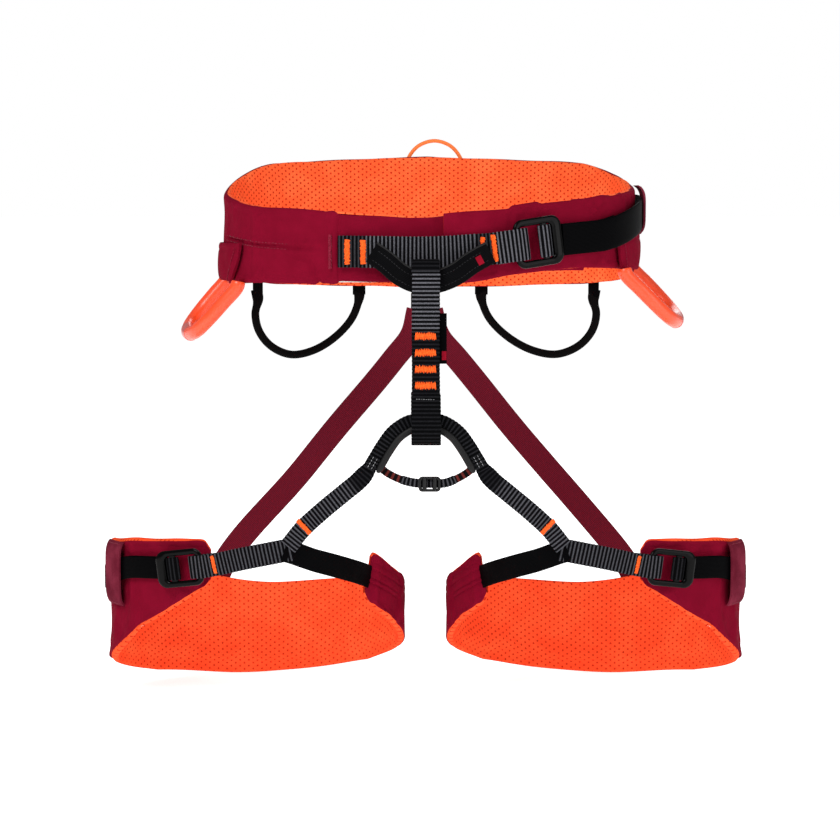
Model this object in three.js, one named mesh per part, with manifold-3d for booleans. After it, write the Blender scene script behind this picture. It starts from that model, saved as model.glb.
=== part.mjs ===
// Climbing sit harness: a padded waist belt, a belay loop hung from the belt's tie-in loop,
// and two padded leg loops that hang from a webbing bridge in front and from elastic risers behind.
//
// Millimetres. +X is to the right of someone facing the harness, +Y runs from its front to its
// back, +Z is up. The origin is on the ground, under the middle of the harness's footprint.
import * as THREE from "three";
import Module from "manifold-3d";

// ---------------------------------------------------------------- driving dimensions
// The belt and the leg loops are four-centred ovals: half width a, half depth b, side radius r.
const MIDDLE_Y = 12; // both ovals' middles, with the whole harness's depth centred on y = 0
const WAIST = { x: 0, y: MIDDLE_Y, a: 147, b: 108, r: 85 };
const LEG = { x: 122.5, y: MIDDLE_Y, a: 108.5, b: 82, r: 68 };
const PAD_THICK = 9; // shell, foam and liner together
const SHELL_THICK = 1.4;
const CORE_THICK = 1.2; // load-bearing webbing under the shell
const LINER_THICK = 1.4;
const GAP = 0.35; // air between neighbouring layers
const WEB_THICK = 1.4; // single webbing
const WAIST_WEB = 22; // webbing widths
const LEG_WEB = 16;
const BELAY_WIDTH = 19;
const BELAY_THICK = 4; // two layers of webbing sewn together
const BELAY_WINDOW = 12; // clear depth between the belay loop's front and back
const BELAY_BOTTOM = 194.6;
const BELAY_TOP = 319.2;
const TIE_IN_Z = 303.5; // middle of the upper tie-in loop, where the belay loop hangs
const GEAR_TUBE = 8; // across the moulded front gear loops
const REAR_TUBE = 6; // across the sleeved rear gear loops
const HAUL_CORD = 2.8;
const RISER_WIDTH = 17;
const RISER_PIVOT_Z = 288; // where the risers hang from the back of the belt

// Edge heights round the belt, keyed by degrees from the front (0) through the side to the back (180).
const BELT_TOP = [[0, 347.6], [40, 354], [60, 358], [90, 365.5], [115, 376], [138, 385], [180, 391.6]];
const BELT_BOTTOM = [[0, 302], [60, 301], [90, 300.5], [125, 299], [155, 295], [180, 292.7]];
const BUCKLE_END_LIFT = 6.5; // the buckle end of the belt rides higher than the other
// How much its edges rise, keyed by normal angle: -87 is its front end and 0 the side.
const TOP_LIFT = [[-87, 1.4], [-75, 2.2], [-58, 5.8], [-45, BUCKLE_END_LIFT], [-10, 4.5], [30, 0], [32, 0]];
const BOTTOM_LIFT = [[-87, 0.5], [-79, 1.8], [-71, 5.3], [-60, 7.3], [-30, 7], [0, 3.5], [30, 0], [32, 0]];

// Edge heights round a leg loop, keyed by outward-normal angle: -78 is the outer front end,
// 0 the outer side, 90 the back, 180 the inner side and 232 the inner front end.
const LEG_TOP = [[-78, 123], [-35, 118], [0, 112], [45, 92], [90, 69], [120, 75], [180, 85], [232, 110]];
const LEG_BOTTOM = [[-78, 92], [-55, 61], [-35, 45], [0, 27.5], [45, 12], [90, 0.2], [135, 21], [180, 42], [232, 75]];

// ---------------------------------------------------------------- materials
const paint = (color, roughness, metalness = 0) =>
  new THREE.MeshStandardMaterial({ color, roughness, metalness });
const BURGUNDY = paint(0x86122d, 0.85);
const ORANGE_MESH = paint(0xfb5b33, 0.8);
const FOAM = paint(0xd9d6cf, 0.9);
const WEBBING = paint(0x26262a, 0.75);
const BLACK_SLEEVE = paint(0x0c0c0d, 0.7);
const ELASTIC = paint(0x6a1826, 0.8);
const BUCKLE_METAL = paint(0x1b1c1f, 0.3, 0.9);
const ORANGE_PLASTIC = paint(0xfd5a30, 0.4);
const BLACK_PLASTIC = paint(0x151516, 0.5);

// ---------------------------------------------------------------- helpers
const wasm = await Module();
wasm.setup();

const { degToRad, lerp, smoothstep } = THREE.MathUtils;
const vec = (x, y, z) => new THREE.Vector3(x, y, z);

// A smooth function of degrees through the given [degrees, value] keys.
function keyed(keys) {
  const cubic = new THREE.CubicInterpolant(keys.map((k) => k[0]), keys.map((k) => k[1]), 1);
  return (degrees) => cubic.evaluate(degrees)[0];
}

// An oval of two side arcs and two flatter end arcs, traced by the angle of its outward normal.
class Oval {
  constructor({ x, y, a, b, r }) {
    Object.assign(this, { x, y, sideR: r, sideC: a - r });
    this.endR = (a * a + b * b - 2 * a * r) / (2 * (b - r));
    this.endC = this.endR - b;
    this.join = Math.atan2(this.endC, this.sideC);
  }
  // The point with its normal at this many degrees, moved outwards by w, at height z.
  point(degrees, w, z) {
    const c = Math.cos(degToRad(degrees));
    const s = Math.sin(degToRad(degrees));
    const radius = this.radius(degrees) + w;
    const onSide = this.radius(degrees) === this.sideR;
    const centreX = onSide ? Math.sign(c) * this.sideC : 0;
    const centreY = onSide ? 0 : -Math.sign(s) * this.endC;
    return vec(this.x + centreX + radius * c, this.y + centreY + radius * s, z);
  }
  radius(degrees) {
    return Math.abs(Math.sin(degToRad(degrees))) < Math.sin(this.join) ? this.sideR : this.endR;
  }
  normal(degrees) {
    return vec(Math.cos(degToRad(degrees)), Math.sin(degToRad(degrees)), 0);
  }
}

// A closed block cut into nu by nv by nw cells, each corner moved to place(u, v, w), all 0 to 1.
function bent(nu, nv, nw, place) {
  const geometry = new THREE.BoxGeometry(1, 1, 1, nu, nv, nw);
  const p = geometry.attributes.position;
  for (let i = 0; i < p.count; i++) {
    const q = place(p.getX(i) + 0.5, p.getY(i) + 0.5, p.getZ(i) + 0.5);
    p.setXYZ(i, q.x, q.y, q.z);
  }
  geometry.computeVertexNormals();
  return geometry;
}

// A layer that follows an oval from one normal angle to another, in equal steps of the angle.
// inner, outer, top and bottom are functions of the angle.
function band(oval, from, to, steps, { inner, outer, top, bottom }) {
  return bent(steps, 2, 1, (u, v, w) => {
    const angle = lerp(from, to, u);
    return oval.point(angle, lerp(inner(angle), outer(angle), w), lerp(bottom(angle), top(angle), v));
  });
}

// Flat webbing along a smooth curve. out is the way its face looks, at each point of the curve.
function ribbon(points, out, width, thick, steps) {
  const path = new THREE.CatmullRomCurve3(points);
  const faces = new THREE.CatmullRomCurve3(out);
  return bent(steps, 1, 1, (u, v, w) => {
    const along = path.getTangent(u);
    const across = faces.getPoint(u).cross(along).normalize();
    const face = along.clone().cross(across);
    return path
      .getPoint(u)
      .addScaledVector(across, (v - 0.5) * width)
      .addScaledVector(face, (w - 0.5) * thick);
  });
}

// A hoop of cord or tube in one plane, with a narrow flat on each of its four sides. It runs
// between two points; outline gives its curve as fractions of the way across and of the drop.
function hoop(from, to, drop, outline, thick, steps) {
  const across = to.clone().sub(from);
  const alongAxis = across.clone().normalize();
  const normal = across.clone().cross(drop).normalize();
  const downAxis = normal.clone().cross(alongAxis);
  const points = outline.map(([part, down]) => {
    const offset = across.clone().multiplyScalar(part).addScaledVector(drop, down);
    return vec(offset.dot(alongAxis), offset.dot(downAxis), 0);
  });
  return new THREE.ExtrudeGeometry(roundedRectangle(THREE.Shape, 0, 0, thick, thick, 0.32 * thick), {
    extrudePath: new THREE.CatmullRomCurve3(points),
    steps,
    curveSegments: 2,
  }).applyMatrix4(new THREE.Matrix4().makeBasis(alongAxis, downAxis, normal).setPosition(from));
}

// A rectangle with rounded corners, centred on (x, y).
function roundedRectangle(Kind, x, y, width, height, radius) {
  const path = new Kind();
  const [left, right, low, high] = [x - width / 2, x + width / 2, y - height / 2, y + height / 2];
  path.moveTo(left + radius, low);
  path.lineTo(right - radius, low);
  path.absarc(right - radius, low + radius, radius, -Math.PI / 2, 0);
  path.lineTo(right, high - radius);
  path.absarc(right - radius, high - radius, radius, 0, Math.PI / 2);
  path.lineTo(left + radius, high);
  path.absarc(left + radius, high - radius, radius, Math.PI / 2, Math.PI);
  path.lineTo(left, low + radius);
  path.absarc(left + radius, low + radius, radius, Math.PI, 1.5 * Math.PI);
  return path;
}

function solid(geometry) {
  const plain = geometry.index ? geometry.toNonIndexed() : geometry;
  const positions = plain.attributes.position.array;
  const corners = new Map();
  const vertices = [];
  const triVerts = new Uint32Array(positions.length / 3);
  for (let i = 0; i < triVerts.length; i++) {
    const corner = positions.slice(3 * i, 3 * i + 3);
    const key = Array.from(corner, (value) => Math.round(value * 1e4)).join();
    if (!corners.has(key)) {
      corners.set(key, corners.size);
      vertices.push(...corner);
    }
    triVerts[i] = corners.get(key);
  }
  const vertProperties = new Float32Array(vertices);
  return new wasm.Manifold(new wasm.Mesh({ numProp: 3, vertProperties, triVerts }));
}

function geometryOf(body) {
  const mesh = body.getMesh();
  const result = new THREE.BufferGeometry();
  result.setAttribute("position", new THREE.BufferAttribute(mesh.vertProperties, 3));
  result.setIndex(new THREE.BufferAttribute(mesh.triVerts, 1));
  return result;
}

function cutAway(geometry, ...tools) {
  return geometryOf(tools.reduce((body, tool) => body.subtract(solid(tool)), solid(geometry)));
}

function joined(...geometries) {
  return geometryOf(geometries.map(solid).reduce((body, other) => body.add(other)));
}

function piece(name, geometry, material) {
  const mesh = new THREE.Mesh(geometry, material);
  mesh.name = name;
  return mesh;
}

const box = (w, d, h, x = 0, y = 0, z = 0) => new THREE.BoxGeometry(w, d, h).translate(x, y, z);

// ---------------------------------------------------------------- slide-block buckle
// Local axes: x along the strap from the sewn bar to the free end, y across it, z out of the belt.
const BUCKLE = {
  length: 36,
  thick: 3,
  corner: 6,
  sewnBar: 4,
  freeBar: 6,
  slotFrom: -3,
  slotTo: 8.5,
  slotDepth: 2,
  barWidth: 5,
  barThick: 2,
  barAt: 5, // middle of the sliding bar when the strap is locked
};
const BUCKLE_RISE = 6.2; // frame's mid-plane above the pad: two layers of webbing pass under it

function buckleFrame(webWidth, rail) {
  const windowHeight = webWidth + 1.6;
  const height = windowHeight + 2 * rail;
  const windowLength = BUCKLE.length - BUCKLE.sewnBar - BUCKLE.freeBar;
  const windowAt = (BUCKLE.sewnBar - BUCKLE.freeBar) / 2;
  const outline = roundedRectangle(THREE.Shape, 0, 0, BUCKLE.length, height, BUCKLE.corner);
  outline.holes.push(roundedRectangle(THREE.Path, windowAt, 0, windowLength, windowHeight, 1.5));
  const bevel = 0.6;
  const frame = new THREE.ExtrudeGeometry(outline, {
    depth: BUCKLE.thick - 2 * bevel,
    curveSegments: 4,
    bevelThickness: bevel,
    bevelSize: bevel,
    bevelOffset: -bevel,
    bevelSegments: 1,
  }).translate(0, 0, -BUCKLE.thick / 2 + bevel);
  const slotLength = BUCKLE.slotTo - BUCKLE.slotFrom;
  const slotAt = (BUCKLE.slotTo + BUCKLE.slotFrom) / 2;
  const slots = box(slotLength, windowHeight + 2 * BUCKLE.slotDepth, BUCKLE.barThick + 2 * GAP, slotAt);
  return cutAway(frame, slots);
}

function slidingBar(webWidth) {
  const length = webWidth + 1.6 + 2 * (BUCKLE.slotDepth - GAP);
  const outline = roundedRectangle(THREE.Shape, BUCKLE.barAt, 0, BUCKLE.barWidth, length, 1);
  const bar = new THREE.ExtrudeGeometry(outline, { depth: BUCKLE.barThick, bevelEnabled: false, curveSegments: 2 });
  return bar.translate(0, 0, -BUCKLE.barThick / 2);
}

// The stretch of strap that turns round the sliding bar; both ends dive towards the free bar.
function strapFold(webWidth) {
  const clear = BUCKLE.barThick / 2 + GAP;
  const farEdge = BUCKLE.barAt - BUCKLE.barWidth / 2;
  const centre = [farEdge + 0.6, 0];
  const arc = (radius, from, to) =>
    Array.from({ length: 7 }, (_, i) => {
      const angle = lerp(from, to, i / 6);
      return [centre[0] - radius * Math.cos(angle), centre[1] + radius * Math.sin(angle)];
    });
  const inside = arc(clear, -Math.PI / 2, Math.PI / 2);
  const outside = arc(clear + WEB_THICK, Math.PI / 2, -Math.PI / 2);
  const high = BUCKLE.barAt + BUCKLE.barWidth / 2 + 0.5;
  const end = high + 2.6;
  const upper = [[high, clear], [end, -1.3], [end, -1.3 + WEB_THICK], [high, clear + WEB_THICK]];
  const lower = [[high, -clear - WEB_THICK], [end, -4.9], [end, -4.9 + WEB_THICK], [high, -clear]];
  const outline = [...inside, ...upper, ...outside, ...lower];
  const shape = new THREE.Shape(outline.map(([u, n]) => new THREE.Vector2(u, n)));
  const geometry = new THREE.ExtrudeGeometry(shape, { depth: webWidth, bevelEnabled: false });
  return geometry.rotateX(Math.PI / 2).translate(0, webWidth / 2, 0);
}

// A group whose local x, y, z are the buckle's axes, at a point of an oval, tilted about its normal.
function buckleSeat(oval, degrees, z, tilt, mirrored = false) {
  const seat = new THREE.Group();
  const out = oval.normal(degrees);
  const along = vec(-out.y, out.x, 0).multiplyScalar(mirrored ? -1 : 1);
  along.applyAxisAngle(out, degToRad(mirrored ? tilt : -tilt));
  const across = out.clone().cross(along);
  seat.matrix.makeBasis(along, across, out).setPosition(oval.point(degrees, BUCKLE_RISE, z));
  seat.matrix.decompose(seat.position, seat.quaternion, seat.scale);
  seat.at = (u, n) => vec(u, 0, n).applyMatrix4(seat.matrix);
  seat.across = across;
  return seat;
}

// The webbing's sewn end: it goes over the buckle's sewn bar and back under itself.
function sewnLoop(seat) {
  const bar = -BUCKLE.length / 2 + BUCKLE.sewnBar / 2;
  const reach = BUCKLE.thick / 2 + GAP + WEB_THICK / 2;
  const turn = [90, 45, 0, -45, -90].map((degrees) => {
    const angle = degToRad(degrees);
    return { at: seat.at(bar + 0.8 + reach * Math.cos(angle), reach * Math.sin(angle)), angle };
  });
  const outward = (angle) => seat.at(Math.cos(angle), Math.sin(angle)).sub(seat.at(0, 0));
  return {
    points: [seat.at(bar - 4, reach), ...turn.map((t) => t.at), seat.at(bar - 5, -reach), seat.at(bar - 14, -reach - 0.4)],
    faces: [outward(Math.PI / 2), ...turn.map((t) => outward(t.angle)), outward(-Math.PI / 2), outward(-Math.PI / 2)],
  };
}

// ---------------------------------------------------------------- waist belt
const waistOval = new Oval(WAIST);
const beltTop = keyed(BELT_TOP);
const beltBottom = keyed(BELT_BOTTOM);
const FRONT = 270; // normal angle of the front; the belt's angles run from -87 round to 309
const fromFront = (degrees) => Math.abs(((degrees - FRONT + 540) % 360) - 180);
const topLift = keyed(TOP_LIFT);
const bottomLift = keyed(BOTTOM_LIFT);
const BELT_FROM = -87;
const BELT_TO = 309;
const BELT_STEPS = 66;
const beltEdges = {
  top: (degrees) => beltTop(fromFront(degrees)) + topLift(degrees),
  bottom: (degrees) => beltBottom(fromFront(degrees)) + bottomLift(degrees),
};
// Beyond the end of the front webbing the belt becomes a tongue that slips inside the buckle end,
// and its bottom edge climbs so that the buckle end covers it.
const tongueIn = (degrees) => -(PAD_THICK + 1.2) * smoothstep(degrees, 249, 270);
const tongueLift = (degrees) => 8.5 * smoothstep(degrees, 268, 292);
const beltLayer = (inner, outer, trim = 0) =>
  band(waistOval, BELT_FROM, BELT_TO, BELT_STEPS, {
    inner: (degrees) => inner + tongueIn(degrees),
    outer: (degrees) => outer + tongueIn(degrees),
    top: (degrees) => beltEdges.top(degrees) - trim,
    bottom: (degrees) => beltEdges.bottom(degrees) + tongueLift(degrees) + trim,
  });

function waistPad() {
  const foamOuter = -SHELL_THICK - CORE_THICK - 2 * GAP;
  const foamInner = -PAD_THICK + LINER_THICK + GAP;
  const coreMiddle = (degrees) => (beltEdges.top(degrees) + beltEdges.bottom(degrees)) / 2;
  const core = band(waistOval, -60, 247, 52, {
    inner: () => -SHELL_THICK - GAP - CORE_THICK,
    outer: () => -SHELL_THICK - GAP,
    top: (degrees) => coreMiddle(degrees) + WAIST_WEB / 2,
    bottom: (degrees) => coreMiddle(degrees) - WAIST_WEB / 2,
  });
  return [
    piece("waist_shell", beltLayer(-SHELL_THICK, 0), BURGUNDY),
    piece("waist_core_webbing", core, WEBBING),
    piece("waist_foam", beltLayer(foamInner, foamOuter, 3), FOAM),
    piece("waist_liner", beltLayer(-PAD_THICK, -PAD_THICK + LINER_THICK, 1), ORANGE_MESH),
  ];
}

// Height of the strap's middle line round the buckle side of the belt, by normal angle.
const strapZ = keyed([[-75, 327], [-66, 330], [-45, 336], [-20, 345], [5, 351], [30, 353]]);
const waistSeat = buckleSeat(waistOval, 295, strapZ(-65), 8);

// How far the front webbing stands off the belt: it climbs towards the buckle.
const frontRise = (degrees) => 1.3 + 5 * smoothstep(degrees, 277, 286);
function waistStraps() {
  const frontZ = 324.5;
  const frontAngles = [252.5, 258, 264, 270, 276, 280, 283];
  const loop = sewnLoop(waistSeat);
  const points = [
    ...frontAngles.map((a) => waistOval.point(a, frontRise(a), frontZ + 1.5 * smoothstep(a, 270, 285))),
    ...loop.points,
  ];
  const faces = [...frontAngles.map((a) => waistOval.normal(a)), ...loop.faces];
  const strap = (from, to, steps, w) =>
    band(waistOval, from, to, steps, {
      inner: () => w,
      outer: () => w + WEB_THICK,
      top: (degrees) => strapZ(degrees) + WAIST_WEB / 2,
      bottom: (degrees) => strapZ(degrees) - WAIST_WEB / 2,
    });
  return {
    frontWebbing: piece("waist_front_webbing", ribbon(points, faces, WAIST_WEB, WEB_THICK, 60), WEBBING),
    fixed: piece("waist_strap", strap(-60.2, -40, 8, 0.7), WEBBING),
    tail: piece("waist_strap_tail", strap(-60.2, 28, 30, 2.9), WEBBING),
  };
}

// The upper tie-in loop: a padded sleeve that hangs in a U from the front webbing's two ends.
const TIE_IN_THICK = 5;
const TIE_IN_OUT = 16.4; // how far the middle of the loop stands off the belt
function upperTieIn() {
  // Degrees from the middle of the front, stand-off of the loop's middle layer, height.
  const half = [[13, 0, 323.5], [9.4, 3.5, 316.8], [5.4, 10, 308.2], [1.8, 12, TIE_IN_Z + 0.3]];
  const angles = [...half.map(([a]) => FRONT - a), ...half.map(([a]) => FRONT + a).reverse()];
  const extra = [...half, ...half.toReversed()];
  const seat = (a) => frontRise(a) + WEB_THICK / 2 + TIE_IN_THICK / 2 + 2 * GAP;
  const points = angles.map((a, i) => waistOval.point(a, Math.min(seat(a) + extra[i][1], TIE_IN_OUT), extra[i][2]));
  const faces = angles.map((a) => waistOval.normal(a));
  return piece("upper_tie_in_loop", ribbon(points, faces, 15.5, TIE_IN_THICK, 33), BLACK_SLEEVE);
}

// A webbing keeper that stands off the belt's side; the strap's free end passes under it.
function keeper(name, oval, from, to, z, height, standOff) {
  const rise = (v) => standOff * Math.min(1, 9 * Math.min(v, 1 - v)) + 0.4;
  const geometry = bent(2, 12, 1, (u, v, w) =>
    oval.point(lerp(from, to, u), rise(v) + w * 1.2, z + (v - 0.5) * height));
  return piece(name, geometry, BURGUNDY);
}

function gearSleeve(name, from, to, lift) {
  const geometry = band(waistOval, from, to, 10, {
    inner: () => 0.6,
    outer: () => 2,
    top: () => 328.5 + lift,
    bottom: () => 302 + lift,
  });
  return piece(name, geometry, BURGUNDY);
}

// ---------------------------------------------------------------- gear loops and haul loop
// Front gear loops: stiff moulded tubes that stand out and down from the belt's sides.
const FRONT_LOOP_OUTLINE = [
  [0, 0], [0.01, 0.3], [0.04, 0.62], [0.13, 0.87], [0.3, 0.99], [0.5, 1.02],
  [0.7, 0.99], [0.87, 0.87], [0.96, 0.62], [0.99, 0.3], [1, 0],
];
function frontGearLoop(name, side, lift) {
  const front = vec(side * 139, MIDDLE_Y - 50.5, 293 + lift);
  const back = vec(side * 154, MIDDLE_Y + 29.5, 296 + lift);
  const drop = vec(side * 30, 0, -38);
  return piece(name, hoop(front, back, drop, FRONT_LOOP_OUTLINE, GEAR_TUBE, 26), ORANGE_PLASTIC);
}

// Rear gear loops: sleeved cord that hangs below the back quarters of the belt from two tabs.
const REAR_TABS = { outer: 45, inner: 73.5, low: 287, high: 309, width: 10 };
const REAR_LOOP_OUTLINE = [
  [0, 0], [-0.02, 0.25], [0.02, 0.55], [0.14, 0.83], [0.34, 1], [0.56, 0.94],
  [0.78, 0.7], [0.94, 0.36], [1, 0],
];
const rearAngle = (side, degrees) => (side < 0 ? 180 - degrees : degrees);
function rearGearLoop(name, side) {
  const start = REAR_TABS.low - 2.3;
  const outer = waistOval.point(rearAngle(side, REAR_TABS.outer), 1.2, start);
  const inner = waistOval.point(rearAngle(side, REAR_TABS.inner), 1.2, start);
  const drop = vec(side * 2, 4, -42);
  return piece(name, hoop(outer, inner, drop, REAR_LOOP_OUTLINE, REAR_TUBE, 24), BLACK_SLEEVE);
}

function rearTab(name, side, degrees) {
  const middle = rearAngle(side, degrees);
  const reach = THREE.MathUtils.radToDeg(REAR_TABS.width / 2 / waistOval.radius(middle));
  const geometry = band(waistOval, middle - reach, middle + reach, 3, {
    inner: () => 0.5,
    outer: () => 1.9,
    top: () => REAR_TABS.high,
    bottom: () => REAR_TABS.low,
  });
  return piece(name, geometry, WEBBING);
}

const HAUL = { at: 7, halfWidth: 22, foot: 366, crown: 404 };
const HAUL_OUTLINE = [
  [0, 0], [-0.015, 0.35], [0.05, 0.66], [0.225, 0.9], [0.5, 1],
  [0.775, 0.9], [0.95, 0.66], [1.015, 0.35], [1, 0],
];
function haulLoop() {
  const foot = (side) => vec(HAUL.at + side * HAUL.halfWidth, WAIST.y + WAIST.b + 2.4, HAUL.foot);
  const rise = vec(0, 0, HAUL.crown - HAUL.foot);
  return piece("haul_loop", hoop(foot(-1), foot(1), rise, HAUL_OUTLINE, HAUL_CORD, 24), ORANGE_PLASTIC);
}

// ---------------------------------------------------------------- belay loop
const BELAY_BACK_Y = WAIST.y - WAIST.b - 6.4; // back face of the loop, clear of the webbing
const BELAY_FRONT_Y = BELAY_BACK_Y - 2 * BELAY_THICK - BELAY_WINDOW;
const BELAY_MID_Y = (BELAY_BACK_Y + BELAY_FRONT_Y) / 2;

// A flattened ring of webbing seen from the side: shape x is -y of the harness, shape y is z.
function ringProfile(Kind, grow, low, high) {
  const depth = BELAY_WINDOW + 2 * grow;
  const height = high - low;
  return roundedRectangle(Kind, -BELAY_MID_Y, (low + high) / 2, depth, height, depth / 2 - 0.8);
}

function belayLoop() {
  const across = (shape, width) =>
    new THREE.ExtrudeGeometry(shape, { depth: width, bevelEnabled: false, curveSegments: 5 })
      .translate(0, 0, -width / 2)
      .applyMatrix4(new THREE.Matrix4().makeBasis(vec(0, -1, 0), vec(0, 0, 1), vec(-1, 0, 0)));
  const ring = ringProfile(THREE.Shape, BELAY_THICK, BELAY_BOTTOM, BELAY_TOP);
  ring.holes.push(ringProfile(THREE.Path, 0, BELAY_BOTTOM + BELAY_THICK, BELAY_TOP - BELAY_THICK));
  const sleeveWall = 0.9;
  const sleeveGrow = BELAY_THICK + 0.3;
  const sleeveRing = ringProfile(THREE.Shape, sleeveGrow + sleeveWall, BELAY_BOTTOM - 1.2, BELAY_TOP);
  sleeveRing.holes.push(ringProfile(THREE.Path, sleeveGrow, BELAY_BOTTOM - 0.3, BELAY_TOP - 1));
  const sleeveTop = 228;
  const above = box(60, 60, 200, 0, BELAY_MID_Y, sleeveTop + 100);
  const label = box(10.5, 0.8, 34, 8.2, BELAY_FRONT_Y + BELAY_THICK + 0.9, 266);
  const bartacks = [267, 256.8, 246.6, 236.4].map((z) => box(14, 1.2, 5, 0, BELAY_FRONT_Y, z));
  return [
    piece("belay_loop_webbing", joined(across(ring, BELAY_WIDTH), ...bartacks), WEBBING),
    piece("belay_loop_sleeve", cutAway(across(sleeveRing, BELAY_WIDTH), above), BLACK_SLEEVE),
    piece("belay_wear_label", label, BLACK_PLASTIC),
  ];
}

// ---------------------------------------------------------------- leg bridge (lower tie-in)
const BRIDGE_DEPTH = 5;
function legBridge() {
  const half = [[39, 176.5], [34.5, 184.5], [29.5, 193], [22, 203], [11.5, 209.8], [3.5, 210.8]];
  const arch = (inset, width) => {
    const side = (sign) => half.map(([x, z]) => vec(sign * (x - inset * x / 39), BELAY_MID_Y, z - inset));
    const points = [...side(-1), ...side(1).reverse()];
    return ribbon(points, points.map(() => vec(0, -1, 0)), width, BRIDGE_DEPTH, 31);
  };
  const strapPoints = [
    [-28, 4.6, 176.5], [-18, 3, 170.5], [-8, 0.5, 167.6], [3, 0.2, 167.2],
    [13, 0.5, 167.6], [20, 3, 170.5], [28, 4.6, 176.5],
  ]
    .map(([x, back, z]) => vec(x, BELAY_MID_Y + back, z));
  const strap = ribbon(strapPoints, strapPoints.map(() => vec(0, -1, 0)), 5.4, 1.6, 24);
  const at = [2.5, BELAY_MID_Y + 0.3, 167.2];
  const adjuster = cutAway(box(15, 5.4, 10.4, ...at), box(17, 2.6, 8, ...at));
  return {
    fixed: [
      piece("bridge_arch_webbing", arch(0, 8.6), WEBBING),
      piece("bridge_protector", arch(7.4, 4.2), BLACK_PLASTIC),
      piece("bridge_lower_strap", strap, ELASTIC),
    ],
    adjuster: piece("bridge_adjuster", adjuster, BLACK_PLASTIC),
  };
}

// ---------------------------------------------------------------- leg loop outline
const legOval = new Oval(LEG);
const legTop = keyed(LEG_TOP);
const legBottom = keyed(LEG_BOTTOM);
const LEG_FROM = -77.5;
const LEG_TO = 232.5;
const LEG_STEPS = 62;
const legTailZ = keyed([[-78, 105], [-66, 102], [-45, 99], [-20, 91], [0, 84]]);

// ---------------------------------------------------------------- rear risers
const RISER_FOOT = 77; // normal angle of the leg loop's oval where a riser is sewn on
const RISER_TAB = { low: 52, high: 70 };
function riser(name, side) {
  const y = WAIST.y + WAIST.b;
  const foot = legOval.point(RISER_FOOT, 1.4, 84);
  const points = [
    vec(side * 7, y - 2.6, RISER_PIVOT_Z - 15), vec(side * 25, y - 4, 252),
    vec(side * 92, lerp(y, foot.y, 0.6), 162), vec(side * foot.x, foot.y, foot.z),
  ];
  const faces = points.map(() => vec(0, 1, 0.1));
  return piece(name, ribbon(points, faces, RISER_WIDTH, 1.2, 18), ELASTIC);
}

function riserHanger() {
  const y = WAIST.y + WAIST.b;
  const anchor = box(20, 1.4, 26, 0, y + 1.2, 304);
  const buckle = cutAway(
    box(25, 3.4, 17, 0, y + 1.2, RISER_PIVOT_Z - 6.6),
    box(21, 6, 3, 0, y + 1.2, RISER_PIVOT_Z - 3.5),
  );
  return { anchor: piece("riser_anchor", anchor, WEBBING), buckle: piece("riser_buckle", buckle, BLACK_PLASTIC) };
}

// ---------------------------------------------------------------- leg loops
// The patch that the riser's foot is sewn to, on the back of the leg loop.
function riserTab() {
  return band(legOval, RISER_FOOT - 4, RISER_FOOT + 4, 5, {
    inner: () => 0.4,
    outer: () => 1.6,
    top: () => RISER_TAB.high,
    bottom: () => RISER_TAB.low,
  });
}

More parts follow.
